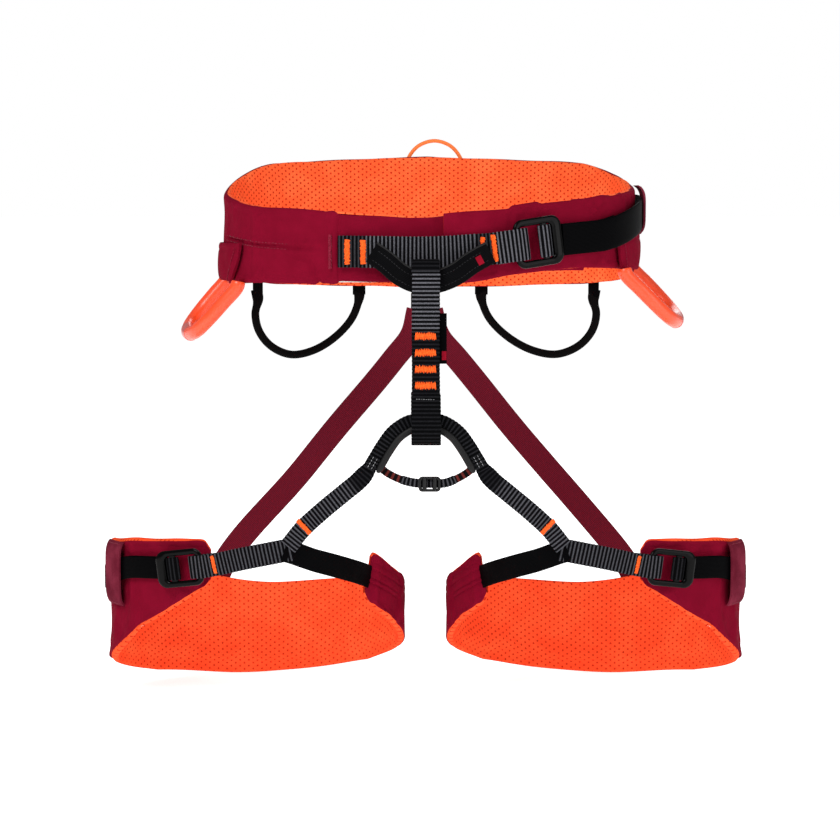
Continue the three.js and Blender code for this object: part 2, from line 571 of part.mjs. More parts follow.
// Builds the right leg loop; the left one is its mirror image.
function legLoop(side) {
  const mirror = new THREE.Group();
  mirror.scale.x = side === "left" ? -1 : 1;
  const layer = (inner, outer, trim = 0) =>
    band(legOval, LEG_FROM, LEG_TO, LEG_STEPS, {
      inner: () => inner,
      outer: () => outer,
      top: (degrees) => legTop(degrees) - trim,
      bottom: (degrees) => legBottom(degrees) + trim,
    });
  const seat = buckleSeat(legOval, -69.5, legTailZ(-69.5), -8);
  const tail = band(legOval, -64, -4, 24, {
    inner: () => 1.3,
    outer: () => 1.3 + WEB_THICK,
    top: (degrees) => legTailZ(degrees) + LEG_WEB / 2,
    bottom: (degrees) => legTailZ(degrees) - LEG_WEB / 2,
  });

  const front = BELAY_MID_Y;
  const upperPoints = [
    vec(42.5, front, 172), vec(56, front + 1, 161), vec(70, front + 3, 149.5), vec(84, front + 7, 136),
    vec(95, front + 11, 121),
  ];
  const upper = ribbon(upperPoints, upperPoints.map(() => vec(0.1, -1, 0.1)), 13, 2.8, 16);

  const loop = sewnLoop(seat);
  const outerPoints = [vec(92, front + 15.5, 120), vec(108, front + 19, 116.5), vec(124, front + 23.5, 113), ...loop.points];
  const outerFaces = [vec(0, -1, 0), vec(0.05, -1, 0), vec(0.08, -1, 0), ...loop.faces];
  const outer = ribbon(outerPoints, outerFaces, LEG_WEB, WEB_THICK, 44);

  const innerPoints = [
    vec(91, front + 19, 116), vec(78, front + 24, 112), vec(64, front + 35, 106.5), vec(52, front + 50, 100.5),
    vec(45.5, front + 59, 96.5),
  ];
  const innerFaces = [vec(0, -1, 0), vec(0.1, -1, 0), vec(-0.5, -1, 0), vec(-0.75, -0.8, 0), vec(-0.75, -0.8, 0)];
  const inner = ribbon(innerPoints.reverse(), innerFaces.reverse(), LEG_WEB, WEB_THICK, 14);

  seat.add(
    piece(`${side}_leg_buckle_frame`, buckleFrame(LEG_WEB, 3.6), BUCKLE_METAL),
    piece(`${side}_leg_buckle_bar`, slidingBar(LEG_WEB), BUCKLE_METAL),
    piece(`${side}_leg_strap_fold`, strapFold(LEG_WEB), WEBBING),
  );
  mirror.add(
    piece(`${side}_leg_shell`, layer(-SHELL_THICK, 0), BURGUNDY),
    piece(`${side}_leg_foam`, layer(-PAD_THICK + LINER_THICK + GAP, -SHELL_THICK - GAP, 3), FOAM),
    piece(`${side}_leg_liner`, layer(-PAD_THICK, -PAD_THICK + LINER_THICK, 1), ORANGE_MESH),
    piece(`${side}_leg_upper_strap`, upper, WEBBING),
    piece(`${side}_leg_outer_strap`, outer, WEBBING),
    piece(`${side}_leg_inner_strap`, inner, WEBBING),
    piece(`${side}_leg_strap_tail`, tail, WEBBING),
    keeper(`${side}_leg_tail_keeper`, legOval, -41, -22, 94, 48, 4.4),
    piece(`${side}_leg_riser_tab`, riserTab(), ELASTIC),
    seat,
  );
  return mirror;
}

// ---------------------------------------------------------------- assembly
const harness = new THREE.Group();
const straps = waistStraps();
const bridge = legBridge();
const hanger = riserHanger();
waistSeat.add(
  piece("waist_buckle_frame", buckleFrame(WAIST_WEB, 4.4), BUCKLE_METAL),
  piece("waist_buckle_bar", slidingBar(WAIST_WEB), BUCKLE_METAL),
  piece("waist_strap_fold", strapFold(WAIST_WEB), WEBBING),
);
harness.add(
  ...waistPad(),
  straps.frontWebbing,
  straps.fixed,
  straps.tail,
  waistSeat,
  keeper("waist_tail_keeper", waistOval, -4, 9, 355.5, 41, 6.6),
  upperTieIn(),
  gearSleeve("left_gear_sleeve", 146, 218, 0),
  gearSleeve("right_gear_sleeve", -38, 34, BUCKLE_END_LIFT - 1),
  frontGearLoop("left_front_gear_loop", -1, 0),
  frontGearLoop("right_front_gear_loop", 1, BUCKLE_END_LIFT),
  rearGearLoop("left_rear_gear_loop", -1),
  rearGearLoop("right_rear_gear_loop", 1),
  rearTab("left_rear_gear_tab_outer", -1, REAR_TABS.outer),
  rearTab("left_rear_gear_tab_inner", -1, REAR_TABS.inner),
  rearTab("right_rear_gear_tab_outer", 1, REAR_TABS.outer),
  rearTab("right_rear_gear_tab_inner", 1, REAR_TABS.inner),
  haulLoop(),
  ...belayLoop(),
  ...bridge.fixed,
  bridge.adjuster,
  hanger.anchor,
  hanger.buckle,
  riser("left_riser", -1),
  riser("right_riser", 1),
  legLoop("left"),
  legLoop("right"),
);

export default harness;
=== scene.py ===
"""Finished looks of the climbing sit harness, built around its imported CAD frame.

Shapes are worked out in millimetres and become metres when a mesh is made. "left" and "right"
are the viewer's, facing the harness: +X is right, +Y is back, +Z is up.
"""

import math

import bpy
import numpy as np
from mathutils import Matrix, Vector


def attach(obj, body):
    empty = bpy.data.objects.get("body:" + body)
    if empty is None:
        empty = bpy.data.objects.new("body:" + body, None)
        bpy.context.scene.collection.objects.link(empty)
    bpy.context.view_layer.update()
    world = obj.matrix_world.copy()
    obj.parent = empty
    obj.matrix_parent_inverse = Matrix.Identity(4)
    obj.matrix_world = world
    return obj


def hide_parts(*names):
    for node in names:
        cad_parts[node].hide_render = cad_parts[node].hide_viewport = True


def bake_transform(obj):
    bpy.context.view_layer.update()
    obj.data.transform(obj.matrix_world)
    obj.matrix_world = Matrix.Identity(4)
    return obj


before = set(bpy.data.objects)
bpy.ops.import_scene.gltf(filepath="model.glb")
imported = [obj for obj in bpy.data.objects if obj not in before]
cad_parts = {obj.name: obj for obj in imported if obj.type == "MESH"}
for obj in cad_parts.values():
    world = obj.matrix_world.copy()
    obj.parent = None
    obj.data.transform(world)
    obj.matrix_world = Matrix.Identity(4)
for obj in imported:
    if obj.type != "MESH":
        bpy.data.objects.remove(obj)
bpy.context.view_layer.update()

# ---------------------------------------------------------------- driving dimensions, mm
MM = 0.001
MIDDLE_Y = 12.0
WAIST = dict(x=2.5, y=MIDDLE_Y, a=149.0, b=108.0, r=85.0)
LEG = dict(x=122.5, y=MIDDLE_Y, a=108.5, b=82.0, r=68.0)
PAD_THICK = 9.0
WEB_THICK = 1.4
WAIST_WEB = 22.0
LEG_WEB = 16.0
RIB_PITCH = 2.75
BELAY_WIDTH = 19.0
BELAY_THICK = 4.0
BELAY_WINDOW = 12.0
BELAY_BACK_Y = MIDDLE_Y - WAIST["b"] - 6.4
BELAY_FRONT_Y = BELAY_BACK_Y - 2 * BELAY_THICK - BELAY_WINDOW
BELAY_MID_Y = (BELAY_BACK_Y + BELAY_FRONT_Y) / 2
BELAY_BOTTOM = 194.6
BELAY_TOP = 319.2
TIE_IN_Z = 303.5
BUCKLE_LENGTH = 36.0
BUCKLE_THICK = 3.0
BUCKLE_RISE = 6.2
BAR_AT = 5.0
STATION = 0.42
FRONT_WEB_Z = 323.5

# Edge heights: the belt's are keyed by degrees from the front, the others by the oval's normal angle.
# The two lifts raise the belt's edges where its right front is folded over.
BELT_TOP = [(0, 347.6), (40, 354), (60, 358), (90, 365.5), (115, 376), (138, 385), (180, 391.6)]
BELT_BOTTOM = [(0, 302), (60, 301), (90, 300.5), (125, 299), (155, 295), (180, 292.7)]
TOP_LIFT = [(-87, 1.4), (-75, 2.2), (-58, 5.8), (-45, 6.5), (-10, 4.5), (30, 0), (32, 0)]
BOTTOM_LIFT = [(-87, 0.5), (-79, 2.2), (-71, 6.5), (-60, 9.8), (-30, 9.8), (0, 4.5), (30, 0), (32, 0)]
LEG_TOP = [(-78, 123), (-35, 118), (0, 112), (45, 92), (90, 69), (120, 75), (180, 85), (232, 110)]
LEG_BOTTOM = [(-78, 92), (-55, 60), (-35, 42), (0, 23), (45, 9), (90, 0.3), (135, 18), (180, 40),
              (232, 75)]
STRAP_Z = [(-75, 327), (-66, 330), (-45, 336), (-20, 345), (5, 351), (30, 353)]
LEG_TAIL_Z = [(-78, 105), (-66, 102), (-45, 99), (-20, 91), (0, 84)]
BELT_ENDS = (-87.0, 309.0)
LEG_ENDS = (-77.5, 232.5)


# ---------------------------------------------------------------- curves
def keyed(keys):
    """A smooth function through (position, value) keys, level beyond both ends."""
    at = np.array([k[0] for k in keys], float)
    value = np.array([k[1] for k in keys], float)

    def evaluate(x):
        x = np.clip(np.asarray(x, float), at[0], at[-1])
        i = np.clip(np.searchsorted(at, x, side="right"), 1, len(at) - 1)
        t0, t1 = at[i - 1], at[i]
        before = np.where(i > 1, i - 2, i)
        after = np.where(i < len(at) - 1, np.minimum(i + 1, len(at) - 1), i - 1)
        half = (t1 - t0) / 2
        wp = half / (t0 - at[before])
        wn = half / (at[after] - t1)
        p = (x - t0) / (t1 - t0)
        sp = -wp * p**3 + 2 * wp * p**2 - wp * p
        s0 = (1 + wp) * p**3 - (1.5 + 2 * wp) * p**2 + (wp - 0.5) * p + 1
        s1 = -(1 + wn) * p**3 + (1.5 + wn) * p**2 + 0.5 * p
        sn = wn * p**3 - wn * p**2
        return sp * value[before] + s0 * value[i - 1] + s1 * value[i] + sn * value[after]

    return evaluate


def smooth(x, low, high):
    t = np.clip((np.asarray(x, float) - low) / (high - low), 0, 1)
    return t * t * (3 - 2 * t)


def bell(x, middle, reach):
    """1 at the middle, fading to nothing a couple of reaches away."""
    return np.exp(-(((np.asarray(x, float) - middle) / reach) ** 2))


def unit(v):
    return v / np.maximum(np.linalg.norm(v, axis=-1, keepdims=True), 1e-12)


class Oval:
    """An oval of two side arcs and two flatter end arcs, traced by the angle of its outward normal."""

    def __init__(self, x, y, a, b, r):
        self.x, self.y, self.side_r, self.side_c = x, y, r, a - r
        self.end_r = (a * a + b * b - 2 * a * r) / (2 * (b - r))
        self.end_c = self.end_r - b
        self.join = math.atan2(self.end_c, self.side_c)

    def radius(self, degrees):
        on_side = np.abs(np.sin(np.radians(degrees))) < math.sin(self.join)
        return np.where(on_side, self.side_r, self.end_r)

    def point(self, degrees, w, z):
        degrees, w, z = np.broadcast_arrays(*(np.asarray(v, float) for v in (degrees, w, z)))
        c, s = np.cos(np.radians(degrees)), np.sin(np.radians(degrees))
        radius = self.radius(degrees)
        on_side = radius == self.side_r
        cx = np.where(on_side, np.sign(c) * self.side_c, 0)
        cy = np.where(on_side, 0, -np.sign(s) * self.end_c)
        return np.stack([self.x + cx + (radius + w) * c, self.y + cy + (radius + w) * s, z], -1)

    def normal(self, degrees):
        turn = np.radians(np.asarray(degrees, float))
        return np.stack([np.cos(turn), np.sin(turn), np.zeros_like(turn)], -1)

    def stations(self, start, stop, step):
        """Normal angles spaced evenly by arc length, and the arc length at each."""
        dense = np.linspace(start, stop, 4001)
        arc = np.concatenate([[0], np.cumsum(np.radians(np.diff(dense)) * self.radius(dense[:-1]))])
        lengths = np.linspace(0, arc[-1], round(arc[-1] / step) + 1)
        return np.interp(lengths, arc, dense), lengths


WAIST_OVAL = Oval(**WAIST)
LEG_OVAL = Oval(**LEG)
belt_top, belt_bottom = keyed(BELT_TOP), keyed(BELT_BOTTOM)
top_lift, bottom_lift = keyed(TOP_LIFT), keyed(BOTTOM_LIFT)
leg_top, leg_bottom = keyed(LEG_TOP), keyed(LEG_BOTTOM)
strap_z, leg_tail_z = keyed(STRAP_Z), keyed(LEG_TAIL_Z)


def catmull(controls, per_segment=40):
    """Points of the centripetal Catmull-Rom curve through the control points."""
    p = np.asarray(controls, float)
    p = np.vstack([2 * p[0] - p[1], p, 2 * p[-1] - p[-2]])
    gap = np.maximum(np.linalg.norm(np.diff(p, axis=0), axis=1) ** 0.5, 1e-6)
    t = np.linspace(0, 1, per_segment, endpoint=False)[:, None]
    parts = []
    for i in range(1, len(p) - 2):
        a, b, c = gap[i - 1], gap[i], gap[i + 1]
        start = (p[i] - p[i - 1]) / a - (p[i + 1] - p[i - 1]) / (a + b) + (p[i + 1] - p[i]) / b
        end = (p[i + 1] - p[i]) / b - (p[i + 2] - p[i]) / (b + c) + (p[i + 2] - p[i + 1]) / c
        start, end = start * b, end * b
        parts.append(p[i] + start * t + (3 * (p[i + 1] - p[i]) - 2 * start - end) * t**2
                     + (2 * (p[i] - p[i + 1]) + start + end) * t**3)
    return np.vstack(parts + [p[-2][None]])


class Line:
    """Evenly spaced stations along a smooth line, each with its own along, across and face."""

    def __init__(self, points, faces, step, ring=False):
        points, faces = np.asarray(points, float), np.asarray(faces, float)
        if ring:
            points, faces = np.vstack([points, points[:1]]), np.vstack([faces, faces[:1]])
        arc = np.concatenate([[0], np.cumsum(np.linalg.norm(np.diff(points, axis=0), axis=1))])
        self.length = arc[-1]
        count = max(2, round(self.length / step))
        self.s = np.linspace(0, self.length, count + 1)
        self.point = np.stack([np.interp(self.s, arc, points[:, k]) for k in range(3)], 1)
        look = np.stack([np.interp(self.s, arc, faces[:, k]) for k in range(3)], 1)
        self.along = unit(np.gradient(self.point, axis=0))
        if ring:
            self.along[0] = self.along[-1] = unit(self.point[1] - self.point[-2])
        self.across = unit(np.cross(look, self.along))
        self.face = np.cross(self.along, self.across)
        self.ring = ring
        if ring:
            for name in ("s", "point", "along", "across", "face"):
                setattr(self, name, getattr(self, name)[:-1])

    @classmethod
    def through(cls, controls, faces, step):
        controls, faces = np.asarray(controls, float), np.asarray(faces, float)
        points = catmull(controls)
        share = np.linspace(0, len(controls) - 1, len(points))
        keys = np.arange(len(faces))
        looks = np.stack([np.interp(share, keys, faces[:, k]) for k in range(3)], 1)
        return cls(points, looks, step)

    @classmethod
    def round_oval(cls, oval, start, stop, w, z, step):
        angles = np.linspace(start, stop, 400)
        points = oval.point(angles, w(angles) if callable(w) else w, z(angles) if callable(z) else z)
        return cls(points, oval.normal(angles), step)

    def place(self, across, out):
        """Points offset from every station; across and out are arrays of one row per station."""
        return (self.point[:, None] + np.asarray(across)[..., None] * self.across[:, None]
                + np.asarray(out)[..., None] * self.face[:, None])

    def at(self, s, across=0.0, out=0.0):
        """Points at given lengths along the line, moved across it and out of its face."""
        s = np.asarray(s, float)
        take = lambda rows: np.stack([np.interp(s, self.s, rows[:, k]) for k in range(3)], -1)
        across, out = np.broadcast_to(across, s.shape), np.broadcast_to(out, s.shape)
        return take(self.point) + across[..., None] * take(self.across) + out[..., None] * take(self.face)


def loop_of(count, power):
    """A closed loop of points round a rounded square of half size 1."""
    turn = np.linspace(0, 2 * np.pi, count, endpoint=False) + np.pi / count
    c, s = np.cos(turn), np.sin(turn)
    return np.sign(c) * np.abs(c) ** (2 / power), np.sign(s) * np.abs(s) ** (2 / power)


# ---------------------------------------------------------------- materials
def tint(red, green, blue):
    """A linear colour from 0 to 255 display values."""
    linear = [((v / 255 + 0.055) / 1.055) ** 2.4 if v > 10 else v / 255 / 12.92 for v in (red, green, blue)]
    return (*linear, 1.0)


class Paint:
    """A procedural material, put together with short calls."""

    def __init__(self, name, roughness, sheen=0.0):
        self.material = bpy.data.materials.new(name)
        self.material.use_nodes = True
        self.tree = self.material.node_tree
        self.surface = self.tree.nodes["Principled BSDF"]
        self.set("Roughness", roughness)
        self.set("Sheen Weight", sheen)
        self.set("Sheen Roughness", 0.45)
        self.set("Specular IOR Level", 0.02)
        self.uv = self.node("UVMap").outputs[0]
        split = self.node("SeparateXYZ", {0: self.uv})
        self.u, self.v = split.outputs[0], split.outputs[1]
        self.place = self.node("TexCoord").outputs["Object"]

    def node(self, kind, inputs=None, **settings):
        made = self.tree.nodes.new("ShaderNode" + kind)
        for key, value in settings.items():
            setattr(made, key, value)
        for key, value in (inputs or {}).items():
            self.plug(made.inputs[key], value)
        return made

    def plug(self, socket, value):
        if isinstance(value, bpy.types.NodeSocket):
            self.tree.links.new(value, socket)
        else:
            socket.default_value = value

    def set(self, name, value):
        self.plug(self.surface.inputs[name], value)

    def math(self, operation, a, b=0.0, c=0.0):
        return self.node("Math", {0: a, 1: b, 2: c}, operation=operation).outputs[0]

    def wave(self, coordinate, pitch):
        """A cosine of this pitch in mm, from -1 to 1."""
        return self.math("COSINE", self.math("MULTIPLY", coordinate, 2 * math.pi / pitch))

    def ramp(self, value, low, high, to_low=0.0, to_high=1.0):
        return self.node("MapRange", {0: value, 1: low, 2: high, 3: to_low, 4: to_high},
                         interpolation_type="SMOOTHSTEP").outputs[0]

    def mix(self, factor, a, b):
        return self.node("Mix", {0: factor, 6: a, 7: b}, data_type="RGBA").outputs[2]

    def noise(self, size, detail=2.0):
        """Noise from 0 to 1 whose features are about this many millimetres."""
        made = self.node("TexNoise", {"Vector": self.place, "Scale": 1000.0 / size, "Detail": detail})
        return made.outputs[0]

    def bump(self, height, distance, strength=1.0):
        made = self.node("Bump", {"Height": height, "Distance": distance * MM, "Strength": strength})
        previous = self.surface.inputs["Normal"].links
        if previous:
            self.plug(made.inputs["Normal"], previous[0].from_socket)
        self.set("Normal", made.outputs[0])

    def attribute(self, name):
        return self.node("Attribute", attribute_name=name).outputs["Fac"]


def woven_cloth(name, colour, dark, pitch=0.55, sheen=0.06):
    paint = Paint(name, 0.85, sheen)
    paint.set("Sheen Tint", colour)
    uneven = paint.noise(14, 3)
    grain = paint.noise(0.8, 1)
    tone = paint.math("ADD", uneven, paint.math("MULTIPLY", grain, 0.35))
    paint.set("Base Color", paint.mix(paint.ramp(tone, 0.45, 0.95), dark, colour))
    weave = paint.math("MULTIPLY", paint.wave(paint.u, pitch), paint.wave(paint.v, pitch))
    paint.bump(weave, 0.05, 0.6)
    paint.bump(paint.noise(5, 2), 0.25, 0.35)
    return paint.material


def perforated_mesh(name, colour, shade, hole, pitch_u, pitch_v, hole_size):
    """Spacer mesh with a half-offset grid of small round holes."""
    paint = Paint(name, 0.85, 0.05)
    paint.set("Sheen Tint", colour)

    def centred_square(value, pitch):
        centred = paint.math("SUBTRACT", paint.math("FLOORED_MODULO", value, pitch), pitch / 2)
        return paint.math("MULTIPLY", centred, centred)

    def distance(u, v):
        squares = paint.math("ADD", centred_square(u, pitch_u), centred_square(v, pitch_v))
        return paint.math("SQRT", squares)

    first = distance(paint.u, paint.v)
    second = distance(paint.math("ADD", paint.u, pitch_u / 2), paint.math("ADD", paint.v, pitch_v / 2))
    nearest = paint.math("MINIMUM", first, second)
    inside = paint.ramp(nearest, hole_size * 0.32, hole_size * 0.62, 1.0, 0.0)
    base = paint.mix(paint.ramp(paint.noise(16, 2), 0.3, 0.8), shade, colour)
    paint.set("Base Color", paint.mix(inside, base, hole))
    paint.bump(inside, -0.35, 0.8)
    knit = paint.math("MULTIPLY", paint.wave(paint.u, 0.9), paint.wave(paint.v, 0.7))
    paint.bump(knit, 0.05, 0.4)
    return paint.material


def ribbed_webbing(name, groove, rib, plain, pitch=RIB_PITCH):
    """Webbing with light ribs across it; where the mesh's "plain" is 1 the ribs are nearly black."""
    paint = Paint(name, 0.75, 0.0)
    crest = paint.ramp(paint.wave(paint.u, pitch), -0.75, 0.1, 1.0, 0.0)
    fibre = paint.ramp(paint.noise(0.7, 2), 0.3, 0.75, 0.62, 1.1)
    light = paint.mix(paint.attribute("plain"), rib, plain)
    paint.set("Base Color", paint.mix(paint.math("MULTIPLY", crest, fibre), groove, light))
    cross = paint.math("MULTIPLY", paint.wave(paint.u, pitch / 2), paint.wave(paint.v, 0.8))
    paint.bump(cross, 0.08, 0.6)
    return paint.material


def plain_webbing(name, colour, light, pitch=0.9, roughness=0.5):
    """Close satin webbing with fine ridges along it."""
    paint = Paint(name, roughness, 0.0)
    ridge = paint.wave(paint.v, pitch)
    paint.set("Base Color", paint.mix(paint.ramp(ridge, -0.4, 1.0), colour, light))
    paint.bump(ridge, 0.06, 0.5)
    paint.bump(paint.wave(paint.u, 1.1), 0.03, 0.4)
    paint.bump(paint.noise(4, 2), 0.12, 0.25)
    return paint.material


def moulding(name, colour, roughness, coat=0.0, scatter=0.0, see_through=0.0, mirror_like=0.5):
    paint = Paint(name, roughness)
    paint.set("Base Color", paint.mix(paint.ramp(paint.noise(20, 2), 0.3, 0.8), colour,
                                      tuple(0.93 * c for c in colour[:3]) + (1.0,)))
    paint.set("Coat Weight", coat)
    paint.set("Coat Roughness", 0.12)
    paint.set("Subsurface Weight", scatter)
    paint.set("Subsurface Scale", 0.004)
    paint.set("Transmission Weight", see_through)
    paint.set("Specular IOR Level", mirror_like)
    paint.bump(paint.noise(1.5, 2), 0.02, 0.3)
    return paint.material


def thread_paint(name, colour, dark):
    paint = Paint(name, 0.55, 0.2)
    paint.set("Base Color", paint.mix(paint.ramp(paint.noise(0.9, 2), 0.3, 0.7), dark, colour))
    paint.bump(paint.noise(0.5, 2), 0.06, 0.6)
    return paint.material


BURGUNDY = woven_cloth("burgundy_cloth", tint(125, 11, 38), tint(116, 9, 34))
BURGUNDY_WEAVE = woven_cloth("burgundy_tape", tint(122, 40, 58), tint(92, 22, 38), pitch=1.3, sheen=0.15)
ORANGE = perforated_mesh("orange_mesh", tint(255, 112, 62), tint(252, 96, 50), tint(190, 46, 20),
                         6.6, 4.2, 1.5)
LEG_ORANGE = perforated_mesh("orange_leg_mesh", tint(255, 92, 50), tint(248, 80, 42), tint(190, 46, 20),
                             7.0, 4.6, 1.5)
WEBBING = ribbed_webbing("grey_ribbed_webbing", tint(7, 7, 9), tint(98, 98, 104), tint(28, 28, 31))
DARK_RIBBED = ribbed_webbing("black_ribbed_webbing", tint(5, 5, 6), tint(34, 34, 37), tint(20, 20, 22))
SATIN = plain_webbing("black_satin_webbing", tint(1, 1, 2), tint(6, 6, 7))
SLEEVE = plain_webbing("black_sleeve", tint(4, 4, 5), tint(16, 16, 18), pitch=1.0, roughness=0.65)
CORD_SLEEVE = plain_webbing("black_cord_sleeve", tint(5, 5, 5), tint(17, 16, 17), pitch=0.7, roughness=0.7)
ELASTIC = plain_webbing("burgundy_elastic", tint(78, 14, 28), tint(114, 30, 46), pitch=1.05, roughness=0.75)
STRIPED = ribbed_webbing("striped_thin_strap", tint(16, 12, 13), tint(104, 42, 38), tint(20, 16, 17),
                         pitch=4.2)
METAL = moulding("black_buckle", tint(2, 2, 2), 0.16, mirror_like=0.1)
ORANGE_TUBE = moulding("orange_moulding", tint(252, 78, 34), 0.36, coat=0.1, scatter=0.05)
ORANGE_TIP = moulding("orange_clear_tip", tint(222, 78, 66), 0.3, coat=0.1, scatter=0.1, see_through=0.08)
ORANGE_CORD = plain_webbing("orange_cord", tint(248, 120, 60), tint(255, 150, 84), pitch=0.5)
PLASTIC = moulding("black_moulding", tint(6, 6, 7), 0.42, mirror_like=0.3)
RUBBER = moulding("dark_smooth_sleeve", tint(15, 14, 15), 0.55, mirror_like=0.25)
FOAM = moulding("closed_cell_foam", tint(217, 214, 207), 0.9)
ORANGE_THREAD = thread_paint("orange_thread", tint(255, 110, 40), tint(236, 78, 22))
BURGUNDY_THREAD = thread_paint("burgundy_thread", tint(142, 30, 56), tint(104, 12, 34))
BLACK_THREAD = thread_paint("black_thread", tint(40, 40, 43), tint(16, 16, 18))
GREY_THREAD = thread_paint("grey_thread", tint(150, 150, 152), tint(90, 90, 92))
RED_PATCH = woven_cloth("red_patch", tint(150, 18, 38), tint(124, 12, 30), pitch=0.7)


# ---------------------------------------------------------------- making pieces
def finish_piece(name, points, quads, caps, uv, material, body, slot, stands_for=(), fields=None,
                 sharp=50, mirror=False):
    """Makes the mesh, turns its faces outwards, paints it and puts it on its body."""
    points = points.copy()
    if mirror:
        points[:, 0] *= -1
    a, b, c, d = (points[quads[:, k]] for k in range(4))
    volume = np.einsum("ij,ij->i", a, np.cross(b, c) + np.cross(c, d)).sum()
    if volume < 0:
        quads = quads[:, ::-1]
        uv = uv[:, ::-1]
        caps = [cap[::-1] for cap in caps]
    sizes = np.array([4] * len(quads) + [len(cap) for cap in caps])
    corners = np.concatenate([quads.ravel(), *caps]).astype(np.int32)
    mesh = bpy.data.meshes.new(name)
    mesh.vertices.add(len(points))
    mesh.vertices.foreach_set("co", (points * MM).astype(np.float32).ravel())
    mesh.loops.add(len(corners))
    mesh.loops.foreach_set("vertex_index", corners)
    mesh.polygons.add(len(sizes))
    mesh.polygons.foreach_set("loop_start", np.concatenate([[0], np.cumsum(sizes)[:-1]]).astype(np.int32))
    mesh.update(calc_edges=True)
    mesh.validate()
    layer = mesh.uv_layers.new(name="UVMap")
    flat = np.zeros((len(mesh.loops), 2), np.float32)
    flat[: len(quads) * 4] = uv.reshape(-1, 2)
    layer.data.foreach_set("uv", flat.ravel())
    for key, values in (fields or {}).items():
        attribute = mesh.attributes.new(key, "FLOAT", "POINT")
        attribute.data.foreach_set("value", np.asarray(values, np.float32).ravel())
    mesh.polygons.foreach_set("use_smooth", np.ones(len(sizes), bool))
    mesh.set_sharp_from_angle(angle=math.radians(sharp))
    mesh.materials.append(material)
    piece = bpy.data.objects.new(name, mesh)
    bpy.context.scene.collection.objects.link(piece)
    if body:
        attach(piece, body)
    if stands_for:
        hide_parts(*stands_for)
    return piece


def closed(name, grid, uv, material, body, slot, ring=0.0, fields=None, **more):
    """A closed skin over a grid whose rows are loops; ring is the length of a line that closes on itself."""
    n, m = grid.shape[:2]
    index = np.arange(n * m).reshape(n, m)
    rows = n if ring else n - 1
    here, there = index[:rows], np.roll(index, -1, 0)[:rows]
    corner = [here, there, np.roll(there, -1, 1), np.roll(here, -1, 1)]
    quads = np.stack(corner, -1).reshape(-1, 4)
    texture = uv.reshape(-1, 2)[quads]
    if ring:
        last = slice((rows - 1) * m, rows * m)
        texture[last, 1:3, 0] += ring
    caps = [] if ring else [index[0][::-1], index[-1]]
    return finish_piece(name, grid.reshape(-1, 3), quads, caps, texture, material, body, slot,
                        fields=fields, **more)


def webbing(name, line, width, thick, material, body, slot, ribs=0.28, plain=None, pitch=RIB_PITCH,
            count=22, power=5.0, wobble=0.25, **more):
    """Webbing along a line, with real ribs across it and scalloped edges."""
    u, h = loop_of(count, power)
    crest = 0.5 - 0.5 * np.cos(2 * np.pi * line.s / pitch)
    depth = ribs(line.s) if callable(ribs) else ribs
    half = np.broadcast_to(width(line.s) if callable(width) else width, line.s.shape) / 2
    half = half - 0.7 * depth * (1 - crest)
    drift = wobble * np.sin(line.s / 17.0 + 1.3)
    high = thick / 2 - depth * (1 - crest) * 0.55
    across = half[:, None] * u + drift[:, None]
    grid = line.place(across, high[:, None] * h)
    uv = np.stack([np.broadcast_to(line.s[:, None], across.shape), across], -1)
    tone = plain(line.s) if callable(plain) else np.full(line.s.shape, 0.0 if plain is None else plain)
    fields = {"plain": np.broadcast_to(tone[:, None], across.shape)}
    return closed(name, grid, uv, material, body, slot, ring=line.length if line.ring else 0.0,
                  fields=fields, **more)


def tube(name, line, radius, material, body, slot, count=16, squash=1.0, **more):
    """A round tube; radius is a number or a function of the length along the line."""
    turn = np.linspace(0, 2 * np.pi, count, endpoint=False)
    r = np.broadcast_to(radius(line.s) if callable(radius) else radius, line.s.shape)[:, None]
    grid = line.place(r * np.cos(turn), r * np.sin(turn) * squash)
    uv = np.stack([np.broadcast_to(line.s[:, None], grid.shape[:2]), r * turn], -1)
    return closed(name, grid, uv, material, body, slot, ring=line.length if line.ring else 0.0, **more)


def threads(name, starts, ends, radius, material, body, slot, rings=5, count=6, **more):
    """Many short lengths of thread in one mesh, each a small capsule from a start to an end."""
    starts, ends = np.asarray(starts, float), np.asarray(ends, float)
    along = unit(ends - starts)
    helper = np.where(np.abs(along[:, 2:3]) < 0.9, [[0.0, 0.0, 1.0]], [[1.0, 0.0, 0.0]])
    side = unit(np.cross(along, helper))
    other = np.cross(along, side)
    share = 0.5 - 0.5 * np.cos(np.linspace(0.12, np.pi - 0.12, rings))
    girth = np.sqrt(np.maximum(1 - (2 * share - 1) ** 4, 0.0)) * 0.85 + 0.15
    turn = np.linspace(0, 2 * np.pi, count, endpoint=False)
    centre = starts[:, None] + (ends - starts)[:, None] * share[None, :, None]
    spoke = (np.cos(turn)[None, None, :, None] * side[:, None, None]
             + np.sin(turn)[None, None, :, None] * other[:, None, None])
    points = centre[:, :, None] + radius * girth[None, :, None, None] * spoke
    k = len(starts)
    index = np.arange(k * rings * count).reshape(k, rings, count)
    here, there = index[:, :-1], index[:, 1:]
    quads = np.stack([here, there, np.roll(there, -1, 2), np.roll(here, -1, 2)], -1).reshape(-1, 4)
    caps = [row for i in range(k) for row in (index[i, 0][::-1], index[i, -1])]
    uv = np.zeros((len(quads), 4, 2))
    return finish_piece(name, points.reshape(-1, 3), quads, caps, uv, material, body, slot, **more)


